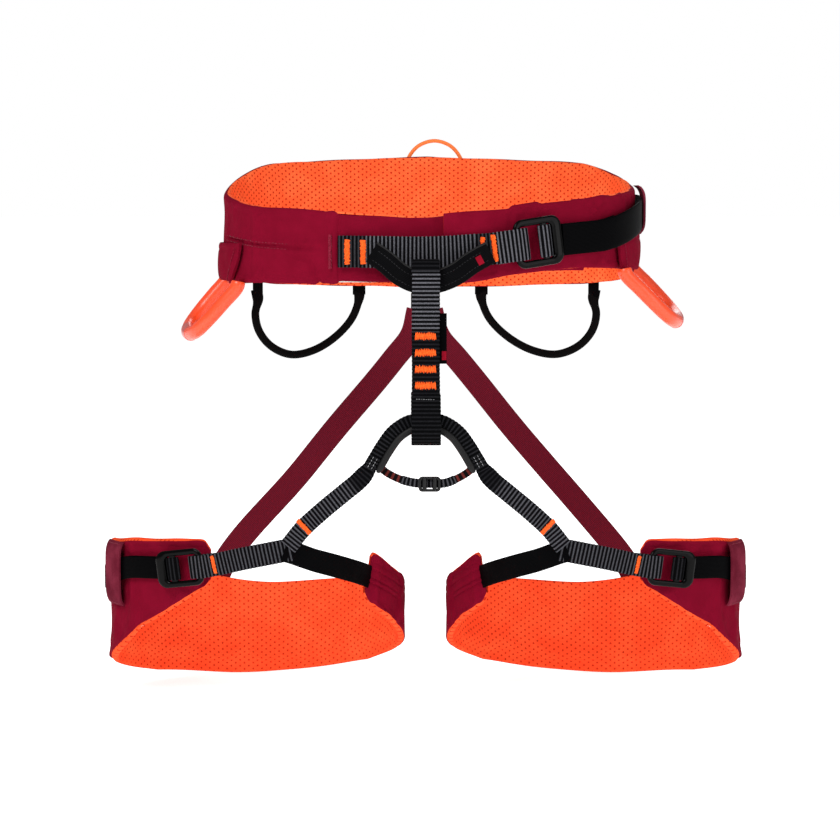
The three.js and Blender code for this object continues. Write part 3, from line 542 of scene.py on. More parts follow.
def bartack(name, centre, long_way, wide_way, out, length, width, material, body, slot, pitch=0.95,
            radius=0.55, seed=1, **more):
    """A dense bar of zigzag stitches: strokes run the wide way, one after the other the long way."""
    random = np.random.default_rng(seed)
    centre, long_way, wide_way, out = (np.asarray(v, float) for v in (centre, long_way, wide_way, out))
    count = int(length / pitch) * 2
    step = np.linspace(-length / 2, length / 2, count + 1)
    side = np.where(np.arange(count + 1) % 2, 1.0, -1.0) * width / 2
    side = side * random.uniform(0.8, 1.08, count + 1)
    corners = (centre + step[:, None] * unit(long_way) + side[:, None] * unit(wide_way)
               + random.uniform(0.0, 0.25, count + 1)[:, None] * unit(out))
    return threads(name, corners[:-1], corners[1:], radius, material, body, slot, **more)


def stitches(name, points, dash, gap, radius, material, body, slot, **more):
    """A row of stitches along a line of points."""
    points = np.asarray(points, float)
    arc = np.concatenate([[0], np.cumsum(np.linalg.norm(np.diff(points, axis=0), axis=1))])
    start = np.arange(0.3, arc[-1] - dash, dash + gap)
    take = lambda s: np.stack([np.interp(s, arc, points[:, k]) for k in range(3)], 1)
    return threads(name, take(start), take(start + dash), radius, material, body, slot, **more)


# ---------------------------------------------------------------- padded bands
def inflate(name, grid, held, pressure=4.0, growth=0.012, limit=2.2):
    """The grid after a short cloth simulation with air inside, each point moved at most limit mm."""
    n, m = grid.shape[:2]
    index = np.arange(n * m).reshape(n, m)
    here, there = index[:-1], index[1:]
    quads = np.stack([here, np.roll(here, -1, 1), np.roll(there, -1, 1), there], -1).reshape(-1, 4)
    faces = quads.tolist() + [index[0].tolist(), index[-1][::-1].tolist()]
    mesh = bpy.data.meshes.new(name)
    mesh.from_pydata((grid.reshape(-1, 3) * MM).tolist(), [], faces)
    blank = bpy.data.objects.new(name, mesh)
    bpy.context.scene.collection.objects.link(blank)
    group = blank.vertex_groups.new(name="held")
    group.add(np.flatnonzero(held.ravel()).tolist(), 1.0, "REPLACE")
    cloth = blank.modifiers.new("Cloth", "CLOTH")
    cloth.settings.quality = 4
    cloth.settings.mass = 0.25
    cloth.settings.tension_stiffness = 12
    cloth.settings.compression_stiffness = 12
    cloth.settings.shear_stiffness = 4
    cloth.settings.bending_stiffness = 0.4
    cloth.settings.use_pressure = True
    cloth.settings.uniform_pressure_force = pressure
    cloth.settings.vertex_group_mass = "held"
    cloth.settings.shrink_min = -growth
    cloth.settings.effector_weights.gravity = 0.0
    cloth.collision_settings.use_collision = False
    cloth.point_cache.frame_start, cloth.point_cache.frame_end = 1, 20
    for number in range(1, 21):
        bpy.context.scene.frame_set(number)
    settled = blank.evaluated_get(bpy.context.evaluated_depsgraph_get()).to_mesh()
    co = np.zeros(n * m * 3, np.float32)
    settled.vertices.foreach_get("co", co)
    bpy.data.objects.remove(blank)
    bpy.context.scene.frame_set(1)
    move = co.reshape(n, m, 3).astype(float) / MM - grid
    move = np.nan_to_num(move)
    reach = np.linalg.norm(move, axis=-1, keepdims=True)
    return grid + move * np.minimum(1.0, limit / np.maximum(reach, 1e-9))


def refine(values, times):
    """Halves the spacing of a grid that is open along its rows and closed round its columns."""
    for _ in range(times):
        near, far = values + np.roll(values, -1, 1), np.roll(values, 1, 1) + np.roll(values, -2, 1)
        between = (9 * near - far) / 16
        values = np.stack([values, between], 2).reshape(values.shape[0], -1, *values.shape[2:])
        ends = np.concatenate([2 * values[:1] - values[1:2], values, 2 * values[-1:] - values[-2:-1]])
        between = (9 * (ends[1:-2] + ends[2:-1]) - ends[:-3] - ends[3:]) / 16
        rows = np.empty((2 * len(values) - 1, *values.shape[1:]))
        rows[0::2], rows[1::2] = values, between
        values = rows
    return values


class Pad:
    """A padded band round an oval, kept as loops of points: up its outer face, down its inner face."""

    def __init__(self, oval, ends, low, high, middle, thick, edge, rows=15, cell=3.9, taper=9.0, power=3.2,
                 lean=None):
        angle, arc = oval.stations(*ends, cell)
        even = np.linspace(0, 1, rows)
        v = 0.55 * even + 0.45 * (0.5 - 0.5 * np.cos(np.pi * even))
        bottom, top = low(angle)[:, None], high(angle)[:, None]
        swell = edge + (thick - edge) * (1 - np.abs(2 * v - 1) ** power) ** (1 / power)
        end_gap = np.minimum(arc, arc[-1] - arc)
        swell = swell * (0.4 + 0.6 * smooth(end_gap, 0, taper))[:, None]
        z = bottom + (top - bottom) * v
        centre = middle(angle)[:, None]
        turned = angle[:, None] + (lean(angle[:, None], v) if lean else 0 * v)
        outer = oval.point(turned, centre + swell / 2, z)
        inner = oval.point(turned, centre - swell / 2, z)
        both = lambda a: np.concatenate([a, a[:, ::-1]], 1)
        full = lambda a: np.broadcast_to(a, z.shape)
        self.rows = rows
        self.grid = np.concatenate([outer, inner[:, ::-1]], 1)
        self.facts = {"angle": both(full(turned)), "arc": both(full(arc[:, None])),
                      "v": both(full(v)), "rise": both(z - bottom), "end": both(full(end_gap[:, None]))}
        self.held = np.zeros(self.grid.shape[:2], bool)
        self.held[:, [0, rows - 1, rows, 2 * rows - 1]] = True
        self.held[[0, -1]] = True
        self.scale = 1

    def swell(self, name, **settings):
        self.grid = inflate(name, self.grid, self.held, **settings)

    def sheet(self, times, first, last, shape=None):
        """Part of the refined skin between two columns, counted in the unrefined loop."""
        f = 2**times
        pick = np.arange(round(first * f), round(last * f) + 1)
        grid = refine(self.grid, times)
        take = lambda a: refine(a, times)[:, pick % (2 * self.rows * f)]
        facts = {key: take(value) for key, value in self.facts.items()}
        grid = grid[:, pick % grid.shape[1]]
        look = unit(np.cross(np.gradient(grid, axis=0), np.gradient(grid, axis=1)))
        if shape:
            grid = grid + shape(grid, look, facts)
            look = unit(np.cross(np.gradient(grid, axis=0), np.gradient(grid, axis=1)))
        return grid, look, facts


def sheet_piece(name, sheet, thick, lift, uv_v, material, body, slot, **more):
    """A closed layer of cloth whose face is the sheet raised by lift."""
    grid, look, facts = sheet
    front = grid + lift * look
    back = front - thick * look
    skin = np.concatenate([front, back[:, ::-1]], 1)
    uv = np.stack([facts["arc"], facts[uv_v]], -1)
    uv = np.concatenate([uv, uv[:, ::-1]], 1)
    return closed(name, skin, uv, material, body, slot, sharp=70, **more)


def trace(sheet, angles, heights, lift=0.0):
    """Points on a sheet's outer face at these normal angles and heights."""
    grid, look, facts = sheet
    middle = grid.shape[0] // 2
    low, high = grid[middle, :, 2].argmin(), grid[middle, :, 2].argmax()
    station = facts["angle"][:, (low + high) // 2]
    raised = grid + lift * look
    at = np.interp(angles, station, np.arange(len(station)))
    points = []
    for place, z in zip(at, np.broadcast_to(heights, np.shape(angles))):
        i = min(int(place), len(station) - 2)
        row = raised[i] + (raised[i + 1] - raised[i]) * (place - i)
        row = row[low:high + 1]
        points.append([np.interp(z, row[:, 2], row[:, k]) for k in range(3)])
    return np.array(points)


# ---------------------------------------------------------------- waist belt
def from_front(degrees):
    return np.abs((np.asarray(degrees, float) + 270) % 360 - 180)


def tongue_in(degrees):
    return -(PAD_THICK + 1.2) * smooth(degrees, 249, 270)


def belt_low(degrees):
    return belt_bottom(from_front(degrees)) + bottom_lift(degrees) + 8.5 * smooth(degrees, 268, 292)


def belt_high(degrees):
    return belt_top(from_front(degrees)) + top_lift(degrees)


SEAM_ANGLES = (196.0, 241.0)


def seam_height(angle):
    """The height of the sewn channel on the belt's left side."""
    return np.interp(angle, SEAM_ANGLES, (332.5, 326.0))


def belt_creases(grid, look, facts):
    angle, v, arc = facts["angle"], facts["v"], facts["arc"]
    x, z = grid[..., 0], grid[..., 2]
    from_seam = z - seam_height(angle)
    on_seam = smooth(angle, 194, 199) * (1 - smooth(angle, 238, 251))
    pucker = np.sin(arc / 1.05 + 1.1 * np.sin(arc / 8)) * bell(from_seam, 1.2, 3.4)
    move = on_seam * (-1.7 * bell(from_seam, 0, 1.1) + 0.7 * bell(from_seam, 2.8, 2.2)
                      + 0.3 * bell(from_seam, -2.6, 1.5) + 0.4 * pucker)
    front = (angle > 225) & (angle < 290)
    move = move - front * 1.5 * smooth(angle, 249.6, 250.3) * (1 - smooth(angle, 262, 276))
    move = move + front * 0.7 * bell(angle, 248.6, 0.9)
    low_crease = x + 80 - (318 - z) * 0.42
    move = move - front * 1.1 * bell(low_crease, 0, 1.5) * (1 - smooth(z, 311, 321))
    move = move + front * 0.7 * bell(low_crease, -4.5, 2.8) * (1 - smooth(z, 311, 321))
    short_crease = z - (320.5 - 0.35 * (x + 90))
    move = move - front * 0.8 * bell(short_crease, 0, 1.2) * bell(x, -84, 7)
    move = move + 0.28 * np.sin(arc / 10 + z / 8) + 0.22 * np.sin(arc / 21 - z / 6 + 2)
    right = angle < -30
    move = move + right * 0.6 * np.sin(arc / 5 + z / 9) * smooth(v, 0.6, 0.95) * bell(angle, -40, 14)
    tab = 1.9 * (smooth(x, 56, 59) - smooth(x, 75, 80)) + 0.8 * (smooth(x, 99, 102) - smooth(x, 118, 132))
    lift = right * tab * smooth(v, 0.7, 1)
    return move[..., None] * look + lift[..., None] * np.array([0.0, 0.0, 1.0])


def liner_dimples(grid, look, facts):
    """A slight unevenness, so that the mesh doesn't look machined."""
    arc, z = facts["arc"], grid[..., 2]
    return (0.22 * np.sin(arc / 13 + z / 9) + 0.15 * np.sin(arc / 6.5 - z / 12))[..., None] * look


belt = Pad(WAIST_OVAL, BELT_ENDS, belt_low, belt_high,
           lambda d: tongue_in(d) - PAD_THICK / 2, thick=7.0, edge=3.0)
belt.swell("belt_blank", limit=0.45)
R = belt.rows
belt_shell = belt.sheet(2, -0.25, R - 0.75, belt_creases)
belt_liner = belt.sheet(1, R - 1.0, 2 * R - 0.5, liner_dimples)
sheet_piece("waist_belt_shell", belt_shell, 1.1, 0.0, "rise", BURGUNDY, "waist_belt", "burgundy_cloth",
            stands_for=["waist_shell"])
sheet_piece("waist_belt_liner", belt_liner, 1.1, -0.3, "rise", ORANGE, "waist_belt", "orange_mesh",
            stands_for=["waist_liner"])


def foam_core(name, pad, body, node, **more):
    grid = pad.grid
    look = unit(np.cross(np.gradient(grid, axis=0), np.gradient(grid, axis=1)))
    core = (grid - 2.6 * look)[1:-1]
    uv = np.stack([pad.facts["arc"], pad.facts["rise"]], -1)[1:-1]
    closed(name, core, uv, FOAM, body, "foam", stands_for=[node], **more)


foam_core("waist_belt_foam", belt, "waist_belt", "waist_foam")
core_line = Line.round_oval(WAIST_OVAL, -60, 247, -4.6,
                            lambda a: (belt_low(a) + belt_high(a)) / 2, 2.0)
webbing("waist_load_webbing", core_line, WAIST_WEB, 0.9, SATIN, "waist_belt", "black_webbing", ribs=0,
        stands_for=["waist_core_webbing"], wobble=0)

seam_angles = np.linspace(198, 238, 200)
stitches("waist_seam_upper_stitches", trace(belt_shell, seam_angles, seam_height(seam_angles) + 2.0, 0.1),
         2.1, 0.9, 0.28, BURGUNDY_THREAD, "waist_belt", "burgundy_cloth")
stitches("waist_seam_lower_stitches", trace(belt_shell, seam_angles, seam_height(seam_angles) - 1.6, 0.1),
         2.1, 0.9, 0.28, BURGUNDY_THREAD, "waist_belt", "burgundy_cloth")
fold_angle = 248.6
fold_spot = trace(belt_shell, [fold_angle], FRONT_WEB_Z, 0.3)[0]
bartack("waist_side_bartack", fold_spot, (0, 0, 1), (0.94, -0.34, 0), WAIST_OVAL.normal(fold_angle), 23, 2.4,
        BURGUNDY_THREAD, "waist_belt", "burgundy_cloth", pitch=1.2, radius=0.5, seed=5)


# ---------------------------------------------------------------- buckles
class Seat:
    """A buckle's own axes on an oval: along the strap to the free end, across it and out of the belt."""

    def __init__(self, oval, degrees, z, tilt):
        self.out = oval.normal(degrees)
        level = np.array([-self.out[1], self.out[0], 0.0])
        turn = math.radians(tilt)
        self.along = level * math.cos(turn) + np.cross(self.out, level) * math.sin(turn)
        self.across = np.cross(self.out, self.along)
        self.origin = oval.point(degrees, BUCKLE_RISE, z)

    def at(self, u, n, across=0.0):
        u, n, across = np.broadcast_arrays(*(np.asarray(v, float) for v in (u, n, across)))
        return (self.origin + u[..., None] * self.along + n[..., None] * self.out
                + across[..., None] * self.across)


def rounded_outline(middle, width, height, radius, per_corner=9):
    """Points round a rectangle with rounded corners; every such outline has its points in the same order."""
    points = []
    for corner, (sx, sy) in enumerate([(1, 1), (-1, 1), (-1, -1), (1, -1)]):
        turn = np.radians(np.linspace(0, 90, per_corner) + 90 * corner)
        cx, cy = middle + sx * (width / 2 - radius), sy * (height / 2 - radius)
        points += [(cx + radius * math.cos(t), cy + radius * math.sin(t)) for t in turn]
    return np.array(points)


def buckle(prefix, seat, web, rail, frame_body, slider_body, mirror=False):
    """A slide-block buckle: a rounded ring of thick bar, and the bar that slides inside it."""
    window = web + 1.6
    height = window + 2 * rail
    outer = rounded_outline(0.0, BUCKLE_LENGTH, height, 7.0)
    inner = rounded_outline(-1.7, 24.6, window, 3.0)
    x, y = loop_of(20, 2.6)
    middle, half = (outer + inner) / 2, (outer - inner) / 2
    flat = middle[:, None] + half[:, None] * x[None, :, None]
    # The free end of the frame is thicker, as a thumb hold.
    high = BUCKLE_THICK / 2 * (1.1 + 0.35 * smooth(middle[:, 0], 9, 15))
    grid = seat.at(flat[..., 0], high[:, None] * y, flat[..., 1])
    closed(f"{prefix}_buckle_ring", grid, np.zeros((*grid.shape[:2], 2)), METAL, frame_body, "buckle_metal",
           ring=1.0, stands_for=[f"{prefix}_buckle_frame"], mirror=mirror)
    reach = window / 2 + 1.6
    bar = Line([seat.at(BAR_AT, 0, -reach), seat.at(BAR_AT, 0, reach)], [seat.out, seat.out], 1.5)
    u, h = loop_of(20, 3)
    grid = bar.place(np.full(len(bar.s), 2.5)[:, None] * u, np.full(len(bar.s), 1.0)[:, None] * h)
    closed(f"{prefix}_sliding_bar", grid, np.zeros((*grid.shape[:2], 2)), METAL, slider_body, "buckle_metal",
           stands_for=[f"{prefix}_buckle_bar"], mirror=mirror)


def fold_line(seat):
    """The strap round the sliding bar: over it from under the free bar, and back beneath it."""
    clear = 1.0 + 0.35 + WEB_THICK / 2
    turn = np.radians(np.linspace(90, 270, 15))
    far = BAR_AT - 2.5 + 0.6
    over = [(16.5, -3.4), (13.0, -3.2), (9.9, -0.6), (8.4, clear - 0.5), (6.5, clear)]
    around = [(far + clear * math.cos(t), clear * math.sin(t)) for t in turn]
    under = [(6.5, -clear), (8.5, -clear - 1.2), (11.0, -4.6), (14.0, -4.9)]
    path = np.array(over + around + under)
    points = catmull(seat.at(path[:, 0], path[:, 1]))
    run = unit(np.gradient(points, axis=0))
    faces = np.cross(run, np.broadcast_to(seat.across, run.shape))
    return Line(points, faces, STATION)


def sewn_loop(seat):
    """Control points and faces of the sewn end: over the sewn bar and back under itself."""
    bar = -BUCKLE_LENGTH / 2 + 2.0
    reach = BUCKLE_THICK / 2 + 0.35 + WEB_THICK / 2
    turn = np.radians([90, 45, 0, -45, -90])
    points = [seat.at(bar - 4, reach)]
    points += [seat.at(bar + 5.5 + reach * math.cos(t), reach * math.sin(t)) for t in turn]
    points += [seat.at(bar - 5, -reach), seat.at(bar - 14, -reach - 0.4)]
    look = lambda t: math.cos(t) * seat.along + math.sin(t) * seat.out
    faces = [look(math.pi / 2)] + [look(t) for t in turn] + [look(-math.pi / 2)] * 2
    return points, faces


def s_where(line, x, share=1.0):
    """The length along a line where it passes this x, looking in the first share of it."""
    part = line.point[: int(len(line.s) * share), 0]
    return line.s[np.abs(part - x).argmin()]


def line_bartack(name, line, s, across, length, width, body, out, turned=False, seed=1, slot="black_webbing",
                 material=None, **more):
    """A bar tack on a strap; its long way runs across the strap, or along it when turned."""
    at = line.at(np.array([s]), across, out)[0]
    i = np.abs(line.s - s).argmin()
    ways = (line.along[i], line.across[i]) if turned else (line.across[i], line.along[i])
    bartack(name, at, *ways, line.face[i], length, width, material or ORANGE_THREAD, body, slot, seed=seed,
            **more)


# ---------------------------------------------------------------- waist straps
FRONT_SHIFT = -0.8
FRONT_ANGLES = np.array([251.2, 258, 264, 270, 276, 280, 283.0]) + FRONT_SHIFT


def front_rise(degrees):
    return 1.3 + 5 * smooth(degrees, 277, 286)


waist_seat = Seat(WAIST_OVAL, 292.8, float(strap_z(-65)), 8)
loop_points, loop_faces = sewn_loop(waist_seat)
front_heights = FRONT_WEB_Z + 2.0 * smooth(FRONT_ANGLES, 270, 285)
front_points = WAIST_OVAL.point(FRONT_ANGLES, front_rise(FRONT_ANGLES), front_heights)
front_faces = WAIST_OVAL.normal(FRONT_ANGLES)
front_line = Line.through([*front_points, *loop_points], [*front_faces, *loop_faces], STATION)


def front_tone(s):
    """Dark where the webbing is stitched through, grey between."""
    left = 1 - smooth(s, 18, 22)
    right = smooth(s, 94, 98) * (1 - smooth(s, 107, 110))
    return 0.75 * (left + right)


webbing("waist_front_strap", front_line, WAIST_WEB, WEB_THICK, WEBBING, "waist_belt", "black_webbing",
        plain=front_tone, stands_for=["waist_front_webbing"])
for number, (x, up, length, width) in enumerate([(-53.2, 0.0, 16.5, 4.4), (-42.6, 0.0, 16.0, 4.4),
                                                 (39.0, 5.5, 6.0, 3.6), (46.6, 0.5, 18.0, 3.6)]):
    line_bartack(f"waist_front_bartack_{number}", front_line, s_where(front_line, x, 0.7), up, length, width,
                 "waist_belt", 1.0, seed=11 + number)

fixed_line = Line.round_oval(WAIST_OVAL, -61.9, -40, 1.4, strap_z, 0.6)
webbing("waist_fixed_strap", fixed_line, WAIST_WEB, WEB_THICK, SATIN, "waist_belt", "black_webbing",
        ribs=0.05, pitch=1.2, stands_for=["waist_strap"], wobble=0.1)
tail_line = Line.round_oval(WAIST_OVAL, -61.0, 28, 3.6, strap_z, 0.8)
webbing("waist_spare_end", tail_line, WAIST_WEB, WEB_THICK, SATIN, "waist_strap_end", "black_webbing",
        ribs=0.04, pitch=1.6, stands_for=["waist_strap_tail"])
buckle("waist", waist_seat, WAIST_WEB, 5.0, "waist_belt", "waist_buckle_slider")
webbing("waist_strap_over_bar", fold_line(waist_seat), WAIST_WEB, WEB_THICK, WEBBING, "waist_buckle_slider",
        "black_webbing", stands_for=["waist_strap_fold"], wobble=0)


def tape_keeper(name, oval, start, stop, z, height, stand_off, body, node, mirror=False):
    """A woven tape that bridges the spare end, sewn down above and below it."""
    v = np.linspace(0, 1, 61)[:, None]
    angle = np.linspace(start, stop, 15)[None]
    flat = (1 - np.abs(2 * v - 1) ** 5) ** 0.8
    roll = 0.25 * (1 - np.abs(np.linspace(-1, 1, 15)) ** 6)[None]
    rise = stand_off * flat + 0.5 + roll
    outer = oval.point(angle, rise + 0.8, z + (v - 0.5) * height)
    inner = oval.point(angle, rise - 0.6, z + (v - 0.5) * height * 0.985)
    grid = np.concatenate([outer, inner[:, ::-1]], 1)
    width = math.radians(stop - start) * oval.side_r
    u = np.broadcast_to(v * height, outer.shape[:2])
    across = np.broadcast_to(np.linspace(0, width, 15)[None], outer.shape[:2])
    uv = np.stack([u, across], -1)
    closed(name, grid, np.concatenate([uv, uv[:, ::-1]], 1), BURGUNDY_WEAVE, body, "burgundy_cloth",
           stands_for=[node], mirror=mirror)
    for number, at in enumerate((0.035, 0.965)):
        row_rise = 1.6 + stand_off * (1 - abs(2 * at - 1) ** 5) ** 0.8
        row = oval.point(np.linspace(start + 1, stop - 1, 30), row_rise, z + (at - 0.5) * height)
        stitches(f"{name}_stitches_{number}", row, 1.4, 0.5, 0.3, BURGUNDY_THREAD, body, "burgundy_cloth",
                 mirror=mirror)


tape_keeper("waist_keeper_tape", WAIST_OVAL, -4, 9, 351.5, 36, 5.6, "waist_belt", "waist_tail_keeper")

# ---------------------------------------------------------------- upper tie-in loop
TIE_HALF = [(13, 0, FRONT_WEB_Z), (9.4, 3.5, 316.8), (5.4, 10, 308.2), (1.8, 12, TIE_IN_Z + 0.3)]
TIE_LEFT_SHARE = 0.84
tie_angles = [270 + FRONT_SHIFT + reach * a
              for reach, half in ((-TIE_LEFT_SHARE, TIE_HALF), (1, TIE_HALF[::-1])) for a, _, _ in half]
tie_keys = TIE_HALF + TIE_HALF[::-1]
tie_points, tie_faces = [], []
for a, (_, extra, z) in zip(tie_angles, tie_keys):
    stand_off = min(front_rise(a) + WEB_THICK / 2 + 2.5 + 1.05 + extra, 16.4)
    tie_points.append(WAIST_OVAL.point(a, stand_off, z))
    tie_faces.append(WAIST_OVAL.normal(a))
tie_line = Line.through(tie_points, tie_faces, 0.8)
u, h = loop_of(32, 2.7)
taper = 1 - 0.45 * (1 - smooth(np.minimum(tie_line.s, tie_line.length - tie_line.s), 0, 7))
grid = tie_line.place(np.full(len(tie_line.s), 7.75)[:, None] * u, (2.5 * taper)[:, None] * h)
uv = np.stack([np.broadcast_to(tie_line.s[:, None], grid.shape[:2]),
               np.broadcast_to(7.75 * u, grid.shape[:2])], -1)
closed("upper_tie_in_sleeve", grid, uv, SLEEVE, "waist_belt", "black_sleeve",
       stands_for=["upper_tie_in_loop"])
edge_points = tie_line.at(tie_line.s, 7.3, 1.1)
tube("upper_tie_in_piping", Line(edge_points, tie_line.face, 1.0), 0.75, RUBBER, "waist_belt",
     "black_sleeve", count=10)
for number, across in enumerate((-3.9, 3.2)):
    row = tie_line.at(np.linspace(4, tie_line.length - 4, 200), across, 2.5)
    stitches(f"upper_tie_in_stitches_{number}", row, 1.6, 0.9, 0.25, BLACK_THREAD,
             "waist_belt", "black_sleeve")
tag_s = s_where(tie_line, 35.5)
tag_line = Line(tie_line.at(np.linspace(tag_s - 2.2, tag_s + 2.2, 9), -1.0, 2.6),
                np.repeat(tie_line.face[:1] * 0 + tie_line.face[-6], 9, 0), 0.8)
webbing("upper_tie_in_tag", tag_line, 6.2, 0.6, RED_PATCH, "waist_belt", "black_sleeve", ribs=0, wobble=0)


# ---------------------------------------------------------------- gear loops
HELD_ANGLE = 19.0


def gear_sleeve(name, start, stop, lift, node, front_end, slant):
    """The cloth channel that holds the moulded loop's ends; its front edge slants back at the bottom."""
    share = np.linspace(0, 1, 70)[:, None]
    v = np.linspace(0, 1, 25)[None]
    inward = 1.0 if start == front_end else -1.0
    along = share if start != front_end else 1 - share
    angle = start + (stop - start) * share + inward * slant * (1 - v) ** 1.6 * along**4
    gap = np.minimum(angle - start, stop - angle)
    swell = 1.7 * np.sqrt(np.clip(1 - (2 * v - 1) ** 2, 0, 1)) * smooth(gap, -1, 9)
    crease = -0.5 * bell(v, 0.82, 0.05) - 0.35 * bell(np.abs(angle - front_end), 6, 1.0) * smooth(v, 0, 0.3)
    fold = 0.35 * np.sin(angle / 2.6 + 4 * v)
    low = 302 + lift - 1.5 * bell(angle, front_end, 7)
    z = low + (328.5 + lift - low) * v
    # The channel opens round the moulded loop's rear end.
    held_angle = HELD_ANGLE if start < 90 else 180 - HELD_ANGLE
    mouth = 5.5 * bell(angle, held_angle, 5.5) * (1 - smooth(v, 0.1, 0.8))
    outer = WAIST_OVAL.point(angle, 0.7 + 0.9 + swell + crease + mouth + fold * swell / 1.7, z)
    inner = WAIST_OVAL.point(angle, np.full(angle.shape, 0.45), z)
    grid = np.concatenate([outer, inner[:, ::-1]], 1)
    arc = np.radians(angle - start) * 85 + 0 * v
    uv = np.stack([arc, z], -1)
    closed(name, grid, np.concatenate([uv, uv[:, ::-1]], 1), BURGUNDY, "waist_belt", "burgundy_cloth",
           stands_for=[node])
    rise = np.linspace(0, 1, 60)
    edge = front_end + inward * (1.0 + slant * (1 - rise) ** 1.6)
    row = WAIST_OVAL.point(edge + inward * 3.0, 2.6 + np.sin(np.pi * rise), 302.5 + lift + 25 * rise)
    stitches(f"{name}_stitches", row, 1.5, 0.8, 0.3, BURGUNDY_THREAD, "waist_belt", "burgundy_cloth")
    rim = Line(WAIST_OVAL.point(edge, 1.9, 300.6 + lift + 28 * rise), WAIST_OVAL.normal(edge), 1.0)
    tube(f"{name}_rim", rim, 0.9, BURGUNDY, "waist_belt", "burgundy_cloth", count=10)


gear_sleeve("left_gear_channel", 146, 218, 0, "left_gear_sleeve", 218, 9)
gear_sleeve("right_gear_channel", -38, 34, 7.5, "right_gear_sleeve", -38, 4)

FRONT_OUTLINE = [(0, 0), (0.01, 0.3), (0.04, 0.62), (0.13, 0.87), (0.3, 0.99), (0.5, 1.02),
                 (0.7, 0.99), (0.87, 0.87), (0.96, 0.62), (0.99, 0.3), (1, 0)]
REAR_OUTLINE = [(0, 0), (-0.02, 0.25), (0.02, 0.55), (0.14, 0.83), (0.34, 1), (0.56, 0.94), (0.78, 0.7),
                (0.94, 0.36), (1, 0)]
HAUL_OUTLINE = [(0, 0), (-0.015, 0.35), (0.05, 0.66), (0.225, 0.9), (0.5, 1), (0.775, 0.9), (0.95, 0.66),
                (1.015, 0.35), (1, 0)]


def hoop_line(start, stop, drop, outline, step, before=(), after=()):
    start, stop, drop = (np.asarray(v, float) for v in (start, stop, drop))
    points = [start + (stop - start) * part + drop * down for part, down in outline]
    normal = unit(np.cross(stop - start, drop))
    points = [*before, *points, *after]
    return Line.through(points, np.repeat(normal[None], len(points), 0), step)


for side, sign, lift in (("left", -1, 0.0), ("right", 1, 6.5)):
    body = f"{side}_front_gear_hoop"
    rise = 5.0 if sign < 0 else 14.0
    # The belt sits a little to the right, so the right loop's ends and reach follow it.
    front_shift, reach = (0.0, 30.2) if sign < 0 else (8.0, 34.0)
    front = np.array([sign * (132.5 + front_shift), MIDDLE_Y - 52.0, 293 + rise])
    held_angle = HELD_ANGLE if sign > 0 else 180 - HELD_ANGLE
    back = WAIST_OVAL.point(held_angle, 4.5, 296 + rise)
    held = WAIST_OVAL.point(held_angle, 0.8, 306 + rise)
    tuck = np.array([-sign * 3.0, 0, 12.0])
    line = hoop_line(front, back, (sign * reach, 0, -35.0), FRONT_OUTLINE, 1.2, before=[front + tuck / 3],
                     after=[held])
    radius = lambda s, total=line.length: 2.2 + 2.9 * smooth(total - s, 3, 13) - 0.6 * bell(s, 0.0, 0.6)
    moulded = tube(f"{side}_front_gear_tube", line, radius, ORANGE_TUBE, None, "orange_plastic", count=24,
                   stands_for=[f"{side}_front_gear_loop"])
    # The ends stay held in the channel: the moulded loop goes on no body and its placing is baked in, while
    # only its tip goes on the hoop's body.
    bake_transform(moulded)
    middle = line.length / 2
    tip_s = np.linspace(middle - 15, middle + 15, 60)
    tip = Line(line.at(tip_s), line.at(tip_s, 0, 1.0) - line.at(tip_s), 1.0)
    tube(f"{side}_front_gear_tip", tip, 5.3, ORANGE_TIP, body, "orange_plastic", count=24)

    # Rear loop: sleeved cord whose ends flatten and run up behind their tabs.
    body = f"{side}_rear_gear_hoop"
    angles = [180 - a for a in (42.5, 73.5)] if sign < 0 else [46.5, 77.5]
    ends = [WAIST_OVAL.point(a, 1.2, 284.7) for a in angles]
    up = [WAIST_OVAL.point(a, 2.7, 292.0) for a in angles]
    line = hoop_line(ends[0], ends[1], (sign * 2, 4, -42), REAR_OUTLINE, 0.9, before=[up[0]], after=[up[1]])
    end_gap = np.minimum(line.s, line.length - line.s)
    flat = 1 - smooth(end_gap, 5, 14)
    turn = np.linspace(0, 2 * np.pi, 20, endpoint=False)
    wide, high = (3.0 + 1.7 * flat)[:, None], (3.0 - 1.9 * flat)[:, None]
    # The cord's flat end faces outwards from the belt, as the tabs do.
    grid = line.place(wide * np.cos(turn), high * np.sin(turn))
    uv = np.stack([np.broadcast_to(line.s[:, None], grid.shape[:2]),
                   np.broadcast_to(3 * turn, grid.shape[:2])], -1)
    cord = closed(f"{side}_rear_gear_cord", grid, uv, CORD_SLEEVE, None, "black_sleeve",
                  stands_for=[f"{side}_rear_gear_loop"])
    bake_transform(cord)
    for place, a in zip(("outer", "inner"), angles):
        strip = Line(WAIST_OVAL.point(np.full(30, a), 1.2, np.linspace(309, 287, 30)),
                     np.repeat(WAIST_OVAL.normal(a)[None], 30, 0), 0.5)
        webbing(f"{side}_rear_{place}_tab", strip, 10, 1.3, SATIN, "waist_belt", "black_webbing", ribs=0.05,
                pitch=1.2, stands_for=[f"{side}_rear_gear_tab_{place}"], wobble=0)
        line_bartack(f"{side}_rear_{place}_bartack", strip, 11, 0, 8, 3, "waist_belt", 0.75,
                     material=BLACK_THREAD, seed=31)

